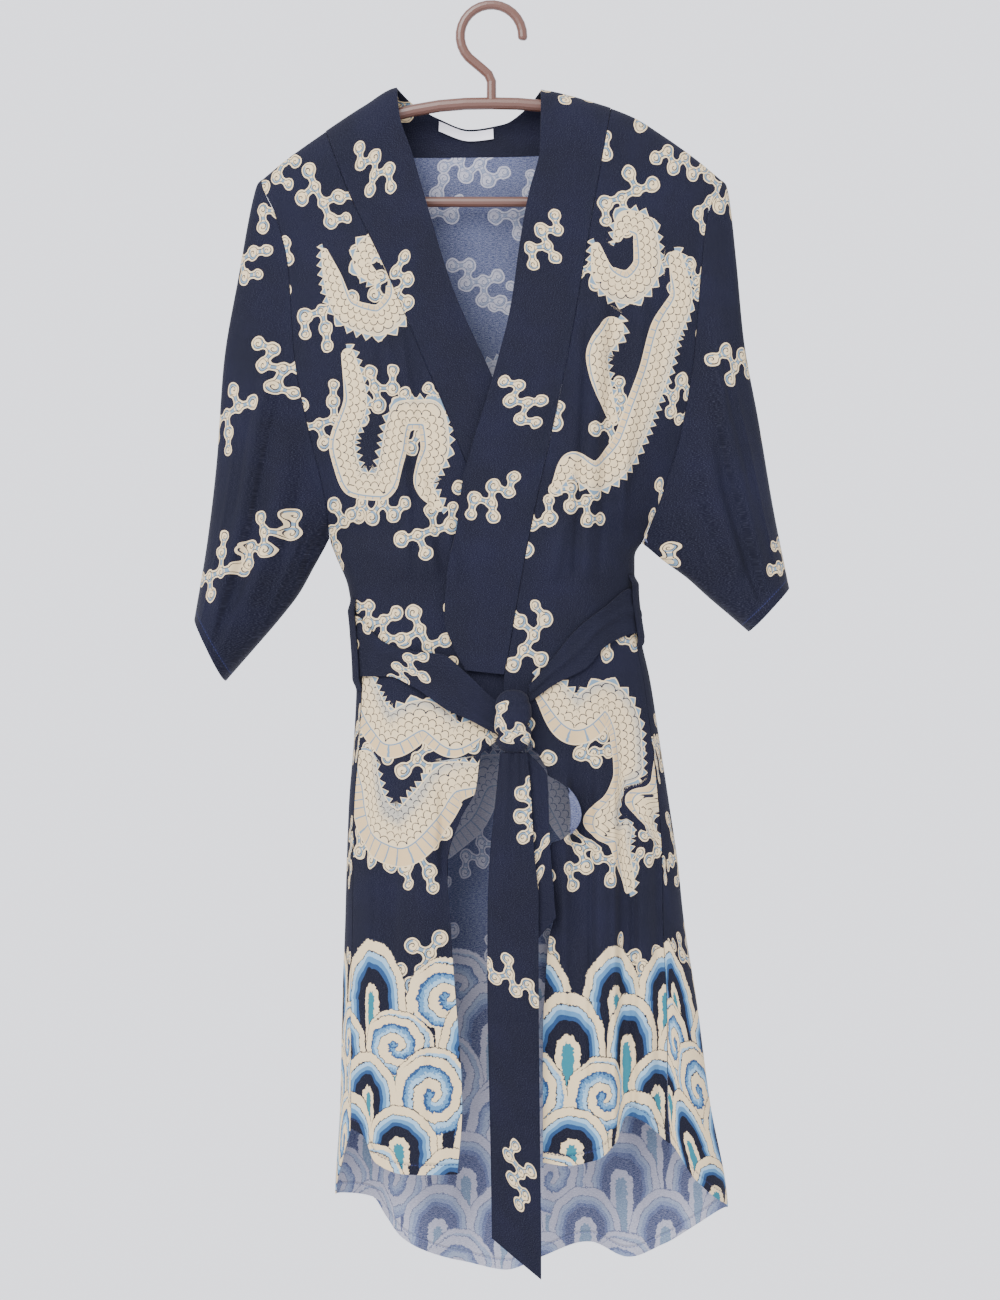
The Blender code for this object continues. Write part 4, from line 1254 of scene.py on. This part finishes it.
beltAngles = []
for rowX, rowSide, rowTurned, rowTop, rowBottom in beltRows:
    rowAngle = float(angleAt(np.array(rowX), np.array((rowTop + rowBottom) / 2.0)))
    ahead = rowTurned == 0 or rowSide > 0
    beltAngles.append(rowSide * rowAngle if ahead else 2.0 * math.pi - rowAngle)
beltCurve = {
    "at": np.linspace(0.0, 1.0, len(beltRows)),
    "angle": np.array(beltAngles),
    "top": np.array([row[3] for row in beltRows]),
    "bottom": np.array([row[4] for row in beltRows]),
}
# where the folded belt creases: share across at the left end, then at the right, depth
beltCreases = [(0.22, 0.50, 0.0011), (0.55, 0.72, -0.0008), (0.80, 0.35, 0.0009)]


def beltRun(u, v):
    z = mix(curve(beltCurve, "top", u), curve(beltCurve, "bottom", u), v)
    points = around(curve(beltCurve, "angle", u), z)
    over = ease((points[..., 0] + 0.090) / 0.036)
    inFront = np.clip(-points[..., 1] / 0.010, 0.0, 1.0)
    points[..., 1] -= wrapLift(points[..., 0], points[..., 2]) * over * inFront
    return points


def beltLift(u, v):
    lift = 0.0
    for start, end, out in beltCreases:
        line = mix(start, end, u) + 0.04 * np.sin(u * 37.0)
        lift = lift + out * np.exp(-(((v - line) / 0.09) ** 2))
    rounded = 1.0 - np.abs(2.0 * v - 1.0) ** 6
    return trim["lying"] + cloth["doubled"] + np.maximum(lift, -0.0004) * rounded


def tail(which):
    form = tails[which]
    rows, tip = form["rows"], form["tip"]

    def surface(u, v):
        top = rows["z"][-1]
        z = mix(top, mix(tip[0], tip[1], u), v)
        x = mix(curve(rows, "left", z), curve(rows, "right", z), u)
        sway = 0.0012 * np.sin(u * math.pi) + 0.0008 * np.sin(z * 95.0)
        for share, halfWidth, out in form["pleats"]:
            fade = np.exp((z - top) / 0.060)
            sway = sway + out * fade * np.exp(-(((u - share) / halfWidth) ** 2))
        for level, halfWidth, out in form["dents"]:
            sway = sway - out * np.exp(-(((z - level - 0.004 * u) / halfWidth) ** 2))
        return np.stack([x, curve(rows, "y", z) - sway, z], axis=-1)

    return surface


def loop(angle, top, bottom):
    def surface(u, v):
        return around(angle + trim["loopSpread"] * (u - 0.5), mix(top, bottom, v))

    return surface


def loopLift(u, v):
    overBelt = ease(v / 0.14) * ease((1.0 - v) / 0.14)
    lying = cloth["doubled"] + 0.0006 + trim["lying"]
    return trim["loopThick"] + trim["loopGap"] + (lying + 0.0006) * overBelt


def labelTape(u, v):
    tape = trim["label"]
    x = mix(tape["left"], tape["right"], u)
    top = curve(trim["neckTop"], "z", x)
    z = top - tape["inset"] - tape["height"] * v
    share = (top - z) / (top - curve(body["neckSeam"], "z", x))
    points = onBody(x, z, True)
    fromPeak = np.minimum(x + 0.0907, 0.0475 - x) / 0.0691
    points[..., 1] += trim["neckLean"] * (1.0 - share) * ease(fromPeak)
    points[..., 1] -= 0.0012 * np.sin(u * math.pi) * v
    return points


def knotSkin(u, v):
    # an upper wrap that crosses over, a groove, and a lower lump that the tail leaves
    turn = 2.0 * math.pi * u
    rise = 1.0 - 2.0 * v
    swell = np.clip(1.0 - np.abs(rise) ** 3.2, 0.0, 1.0) ** 0.45
    slant = rise - 0.16 * np.cos(turn)
    swell = swell * (1.0 - 0.20 * np.exp(-(((slant + 0.22) / 0.10) ** 2)))
    swell = swell * (1.0 - 0.07 * np.exp(-(((slant - 0.42) / 0.09) ** 2)))
    swell = swell * (1.0 + 0.035 * np.sin(turn * 5.0 + 6.0 * v) * np.clip(-slant, 0.0, 1.0))
    c, s = np.cos(turn), np.sin(turn)
    x = knotForm["halfWidth"] * swell * np.sign(c) * np.abs(c) ** 0.75
    y = knotForm["halfDepth"] * swell * np.sign(s) * np.abs(s) ** 0.75
    middle = (knotForm["top"] + knotForm["bottom"]) / 2.0
    half = (knotForm["top"] - knotForm["bottom"]) / 2.0
    z = middle + half * np.sign(rise) * np.abs(rise) ** 0.85
    return np.stack([knotForm["x"] + x, knotForm["y"] + y, z], axis=-1)


# Flat places on each cloth, in metres

def sideways(points, reference, edge):
    # keeps the place in x of one edge, and the true width of the cloth from it
    run = rowLengths(points)
    anchor = run[edge : edge + 1] if edge >= 0 else run[-1:]
    return np.stack([reference + run - anchor, points[..., 2]], axis=-1)


def frontRightFlat(u, v, points):
    return sideways(points, points[-1:, :, 0], -1)


def frontLeftFlat(u, v, points):
    return sideways(points, points[:1, :, 0], 0)


def backFlat(u, v, points):
    middle = points.shape[0] // 2
    return sideways(points, points[middle : middle + 1, :, 0], middle)


def columnLengths(points):
    steps = np.linalg.norm(np.diff(points, axis=1), axis=-1)
    return np.concatenate([np.zeros((points.shape[0], 1)), np.cumsum(steps, axis=1)], axis=1)


def plainFlat(u, v, points):
    # across along the row, and down the mean column
    down = columnLengths(points).mean(axis=0)[None, :] * np.ones_like(u)
    return np.stack([rowLengths(points), down], axis=-1)


def shiftedFlat(start, alongFirst=False):
    # keeps each piece's print on its own stretch of the pattern
    def flatten(u, v, points):
        flat = plainFlat(u, v, points)
        flat = flat[..., ::-1] if alongFirst else flat
        return flat + np.array([0.0, start])

    return flatten


def sleeveFlat(side):
    # the print hangs nearly upright on the front and on the back
    def flatten(u, v, points):
        behind = np.where(u > 0.5, 0.52, 0.0)
        x = points[..., 0] - side * 0.8 * np.abs(points[..., 1]) + behind
        return np.stack([x, points[..., 2]], axis=-1)

    return flatten


def sweep(rows, count=500):
    # a smooth line through a few points, with its width and length
    stations = np.linspace(0.0, 1.0, len(rows))
    names = {"at": stations, "x": np.array([r[0] for r in rows])}
    names["z"] = np.array([r[1] for r in rows])
    names["half"] = np.array([r[2] for r in rows])
    at = np.linspace(0.0, 1.0, count)
    line = np.stack([curve(names, "x", at), curve(names, "z", at)], axis=-1)
    step = np.gradient(line, axis=0)
    long = np.maximum(np.linalg.norm(step, axis=-1), 1e-9)
    return line, curve(names, "half", at), step / long[:, None], np.cumsum(long)


def coilMarks(rows, flat):
    shape = flat.shape[:2]
    spots = flat.reshape(-1, 2)
    best = np.full(len(spots), 9.0)
    kept = np.zeros((len(spots), 3))
    for coil in rows:
        line, half, ahead, length = sweep(coil)
        for start in range(0, len(spots), 6000):
            some = slice(start, start + 6000)
            offset = spots[some, None, :] - line[None, :, :]
            gap = np.linalg.norm(offset, axis=-1)
            i = gap.argmin(axis=1)
            pick = np.arange(len(i))
            near = gap[pick, i] - half[i]
            along = (offset[pick, i] * ahead[i]).sum(axis=1)
            across = offset[pick, i, 1] * ahead[i, 0] - offset[pick, i, 0] * ahead[i, 1]
            closer = near < best[some]
            best[some] = np.where(closer, near, best[some])
            values = np.stack([near, across, length[i] + along], axis=-1)
            kept[some] = np.where(closer[:, None], values, kept[some])
    return kept.reshape(*shape, 3)


def clothMarks(rows):
    # height above the hem and place along it, and the nearest ribbon of the print
    def marks(u, v, points, flat):
        down = columnLengths(points)
        hem = down[:, -1:] - down
        run = rowLengths(points)
        edges = np.stack([hem, run, np.zeros_like(run)], axis=-1)
        return {"edges": edges, "coil": coilMarks(rows, flat)}

    return marks


# Sweeping bodies of the print: x, z and half width down each line
coils = {
    "frontRight": [
        [
            (-0.112, -0.262, 0.006),
            (-0.124, -0.248, 0.010),
            (-0.112, -0.232, 0.013),
            (-0.090, -0.244, 0.014),
            (-0.086, -0.276, 0.015),
            (-0.110, -0.302, 0.015),
            (-0.142, -0.292, 0.013),
            (-0.156, -0.262, 0.010),
            (-0.164, -0.236, 0.004),
        ],
        [
            (-0.142, -0.335, 0.007),
            (-0.136, -0.375, 0.012),
            (-0.150, -0.418, 0.013),
            (-0.140, -0.456, 0.013),
            (-0.112, -0.460, 0.013),
            (-0.098, -0.428, 0.013),
            (-0.084, -0.392, 0.014),
            (-0.060, -0.392, 0.015),
            (-0.054, -0.422, 0.014),
            (-0.066, -0.455, 0.011),
            (-0.050, -0.480, 0.004),
        ],
        [
            (-0.136, -0.640, 0.014),
            (-0.124, -0.672, 0.020),
            (-0.098, -0.696, 0.022),
            (-0.066, -0.682, 0.020),
            (-0.036, -0.700, 0.017),
            (-0.014, -0.690, 0.010),
        ],
        [
            (-0.132, -0.728, 0.018),
            (-0.124, -0.774, 0.026),
            (-0.092, -0.794, 0.027),
            (-0.060, -0.768, 0.024),
            (-0.036, -0.740, 0.020),
            (-0.012, -0.736, 0.014),
        ],
    ],
    "frontLeft": [
        [
            (0.122, -0.222, 0.005),
            (0.130, -0.206, 0.010),
            (0.150, -0.214, 0.013),
            (0.154, -0.246, 0.015),
            (0.132, -0.270, 0.016),
            (0.108, -0.258, 0.012),
            (0.100, -0.232, 0.005),
        ],
        [
            (0.186, -0.242, 0.008),
            (0.192, -0.276, 0.013),
            (0.174, -0.312, 0.016),
            (0.166, -0.350, 0.016),
            (0.152, -0.388, 0.016),
            (0.136, -0.426, 0.016),
            (0.104, -0.450, 0.014),
            (0.078, -0.438, 0.011),
            (0.060, -0.462, 0.004),
        ],
        [
            (0.118, -0.312, 0.014),
            (0.104, -0.336, 0.013),
            (0.112, -0.366, 0.011),
            (0.126, -0.398, 0.004),
        ],
        [
            (0.052, -0.650, 0.014),
            (0.082, -0.682, 0.023),
            (0.112, -0.664, 0.020),
            (0.136, -0.690, 0.020),
            (0.142, -0.742, 0.021),
            (0.136, -0.792, 0.018),
            (0.152, -0.838, 0.008),
        ],
        [
            (0.184, -0.655, 0.010),
            (0.196, -0.700, 0.016),
            (0.190, -0.752, 0.017),
            (0.204, -0.800, 0.008),
        ],
    ],
    "back": [
        [
            (-0.100, -0.300, 0.006),
            (-0.116, -0.360, 0.014),
            (-0.086, -0.412, 0.016),
            (-0.044, -0.396, 0.016),
            (-0.012, -0.356, 0.016),
            (0.032, -0.346, 0.016),
            (0.064, -0.384, 0.016),
            (0.056, -0.436, 0.014),
            (0.020, -0.456, 0.005),
        ],
        [
            (0.166, -0.270, 0.006),
            (0.148, -0.320, 0.014),
            (0.160, -0.372, 0.015),
            (0.128, -0.430, 0.014),
            (0.104, -0.470, 0.005),
        ],
        [
            (-0.128, -0.742, 0.012),
            (-0.080, -0.800, 0.024),
            (-0.034, -0.776, 0.025),
            (-0.004, -0.738, 0.022),
            (0.038, -0.736, 0.020),
            (0.072, -0.772, 0.018),
            (0.092, -0.816, 0.007),
        ],
        [
            (0.122, -0.690, 0.012),
            (0.156, -0.730, 0.020),
            (0.150, -0.786, 0.020),
            (0.182, -0.830, 0.008),
        ],
    ],
}

# Cloths

denseClouds = [
    ("branching", (0.098, 0.104), (0.15, 0.30), 0.94),
    ("climbing", (0.102, 0.110), (0.62, 0.84), 0.90),
]
sparseClouds = [
    ("branching", (0.125, 0.150), (0.35, 0.10), 0.75),
    ("climbing", (0.135, 0.160), (0.90, 0.65), 0.60),
]
robeCloth = printedCloth("robe_print", inks, denseClouds, coils=True, waves=-0.905)
robeWrong = printedCloth("robe_wrong_side", fadedInks, denseClouds, coils=True, waves=-0.905, pale=True)
sleeveCloth = printedCloth("sleeve_print", inks, sparseClouds)
sleeveWrong = printedCloth("sleeve_wrong_side", fadedInks, sparseClouds, pale=True)
# across and along each band, from its lower end; the left band's places start at 1
bandSpots = [
    (
        "climbing",
        [
            (0.040, 0.505, 0.5),
            (0.050, 0.392, -0.3),
            (0.012, 0.610, 1.2),
            (0.024, 1.418, 0.4),
            (0.034, 1.262, -0.7),
            (0.030, 1.168, 0.9),
            (0.030, 1.575, 1.5),
        ],
    ),
]
bandCloth = printedCloth("band_print", inks, [], stitchesAndHemShade=False, spots=bandSpots)
# the long tail starts at 0, the belt at 2, the short tail at 3, the knot at 4
beltSpots = [
    (
        "climbing",
        [
            (0.024, 0.214, 1.35),
            (0.032, 0.396, 0.25),
            (0.034, 0.052, 0.10),
            (0.026, 2.100, 1.10),
            (0.010, 2.175, 0.40),
            (0.030, 3.110, 0.30),
            (0.062, 4.044, 1.20),
        ],
    ),
]
beltCloth = printedCloth("belt_print", inks, [], stitchesAndHemShade=False, spots=beltSpots)
plastic = Shade("hanger_moulded", 0.34)
plastic.face.inputs["Specular IOR Level"].default_value = 0.5
plastic.face.inputs["Base Color"].default_value = ink(84, 54, 43)
tape = Shade("label_weave", 0.7)
tape.face.inputs["Base Color"].default_value = ink(214, 212, 218)
print("cloths ready")

# Pieces of cloth

robeSkins = [robeCloth, robeWrong]
sleeveSkins = [sleeveCloth, sleeveWrong]


def dress(piece, node):
    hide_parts(node)
    size = sum(face.area for face in piece.data.polygons) / 2.0
    print(piece.name, "made,", len(piece.data.polygons), "faces,", round(size, 4), "square metres")


thin = cloth["thick"]
thick = cloth["doubled"]
backCloth = clothSheet(
    "back_cloth", backPanel, 200, 240, 1.0, thin, robeSkins, backFlat,
    marks=clothMarks(coils["back"]),
)
dress(backCloth, "back")
rightFront = clothSheet(
    "front_right_cloth", underFront, 90, 400, -1.0, thin, robeSkins, frontRightFlat,
    marks=clothMarks(coils["frontRight"]),
)
dress(rightFront, "front_right")
leftFront = clothSheet(
    "front_left_cloth", overFront, 110, 400, -1.0, thin, robeSkins, frontLeftFlat,
    marks=clothMarks(coils["frontLeft"]),
)
dress(leftFront, "front_left")
for which, side, sign in (("right", -1.0, -1.0), ("left", 1.0, 1.0)):
    made = clothSheet(
        "sleeve_" + which + "_cloth", sleeve(which, side), 208, 110, sign, thin, sleeveSkins,
        sleeveFlat(side), closed=True, marks=clothMarks([]),
    )
    dress(made, "sleeve_" + which)
for which, surface, sign in (("right", underBand, -1.0), ("left", overBand, 1.0)):
    made = clothSheet(
        "band_" + which + "_cloth", surface, 24, 280, sign, thick, [bandCloth],
        shiftedFlat(0.0 if which == "right" else 1.0),
        raised=trim["proud"],
    )
    dress(made, "band_" + which)
beltPiece = clothSheet(
    "belt_cloth", beltRun, 320, 20, 1.0, thick, [beltCloth],
    shiftedFlat(2.0, alongFirst=True), raised=beltLift,
)
dress(beltPiece, "belt")
for which in ("long", "short"):
    made = clothSheet(
        "belt_tail_" + which + "_cloth", tail(which), 24, 160, -1.0, thick, [beltCloth],
        shiftedFlat(0.0 if which == "long" else 3.0),
    )
    dress(made, "belt_tail_" + which)
knotPiece = clothSheet(
    "belt_knot_cloth", knotSkin, 96, 60, -1.0, thin, [beltCloth], shiftedFlat(4.0), closed=True
)
dress(knotPiece, "belt_knot")
for which, angle, top, bottom in (
    ("right", -0.26, -0.5660, -0.6540),
    ("left", math.pi + 0.26, -0.5430, -0.6120),
):
    made = clothSheet(
        "belt_loop_" + which + "_cloth", loop(angle, top, bottom), 6, 40, 1.0,
        trim["loopThick"], [bandCloth], plainFlat, raised=loopLift,
    )
    dress(made, "belt_loop_" + which)
labelPiece = clothSheet(
    "neck_label_cloth", labelTape, 30, 8, 1.0, 0.0006, [tape.material], plainFlat,
    raised=-0.0026,
)
dress(labelPiece, "neck_label")

# The hanger keeps its solid and takes a finer finish
hangerSolid = bpy.data.objects["hanger"]
hangerSolid.data.materials.clear()
hangerSolid.data.materials.append(plastic.material)

# Camera, floor and light

view = {"x": 0.0082, "z": -0.6148, "distance": 3.2, "height": 1.248, "sensor": 36.0}
bpy.ops.object.camera_add(
    location=(view["x"], -view["distance"], view["z"]), rotation=(math.pi / 2.0, 0.0, 0.0)
)
camera = bpy.context.active_object
camera.data.sensor_fit = "VERTICAL"
camera.data.sensor_height = view["sensor"]
camera.data.lens = view["sensor"] * view["distance"] / view["height"]
bpy.context.scene.camera = camera

studio = {"size": 2.6, "power": 300.0, "sky": 2.1, "floor": -1.75}
backdrop = Shade("backdrop_paint", 0.9)
backdrop.face.inputs["Base Color"].default_value = ink(240, 240, 248)
bpy.ops.object.select_all(action="DESELECT")
bpy.ops.mesh.primitive_plane_add(size=9.0, location=(0.0, -3.0, studio["floor"]))
ground = bpy.context.active_object
ground.name = "floor"
ground.data.materials.append(backdrop.material)

bpy.ops.object.light_add(
    type="AREA", location=(-1.4, -3.4, 1.6), rotation=(math.radians(62), 0.0, math.radians(-22))
)
key = bpy.context.active_object
key.data.size = studio["size"]
key.data.energy = studio["power"]
world = bpy.data.worlds.new("studio")
world.use_nodes = True
world.node_tree.nodes["Background"].inputs["Color"].default_value = ink(240, 241, 250)
world.node_tree.nodes["Background"].inputs["Strength"].default_value = studio["sky"]
bpy.context.scene.world = world
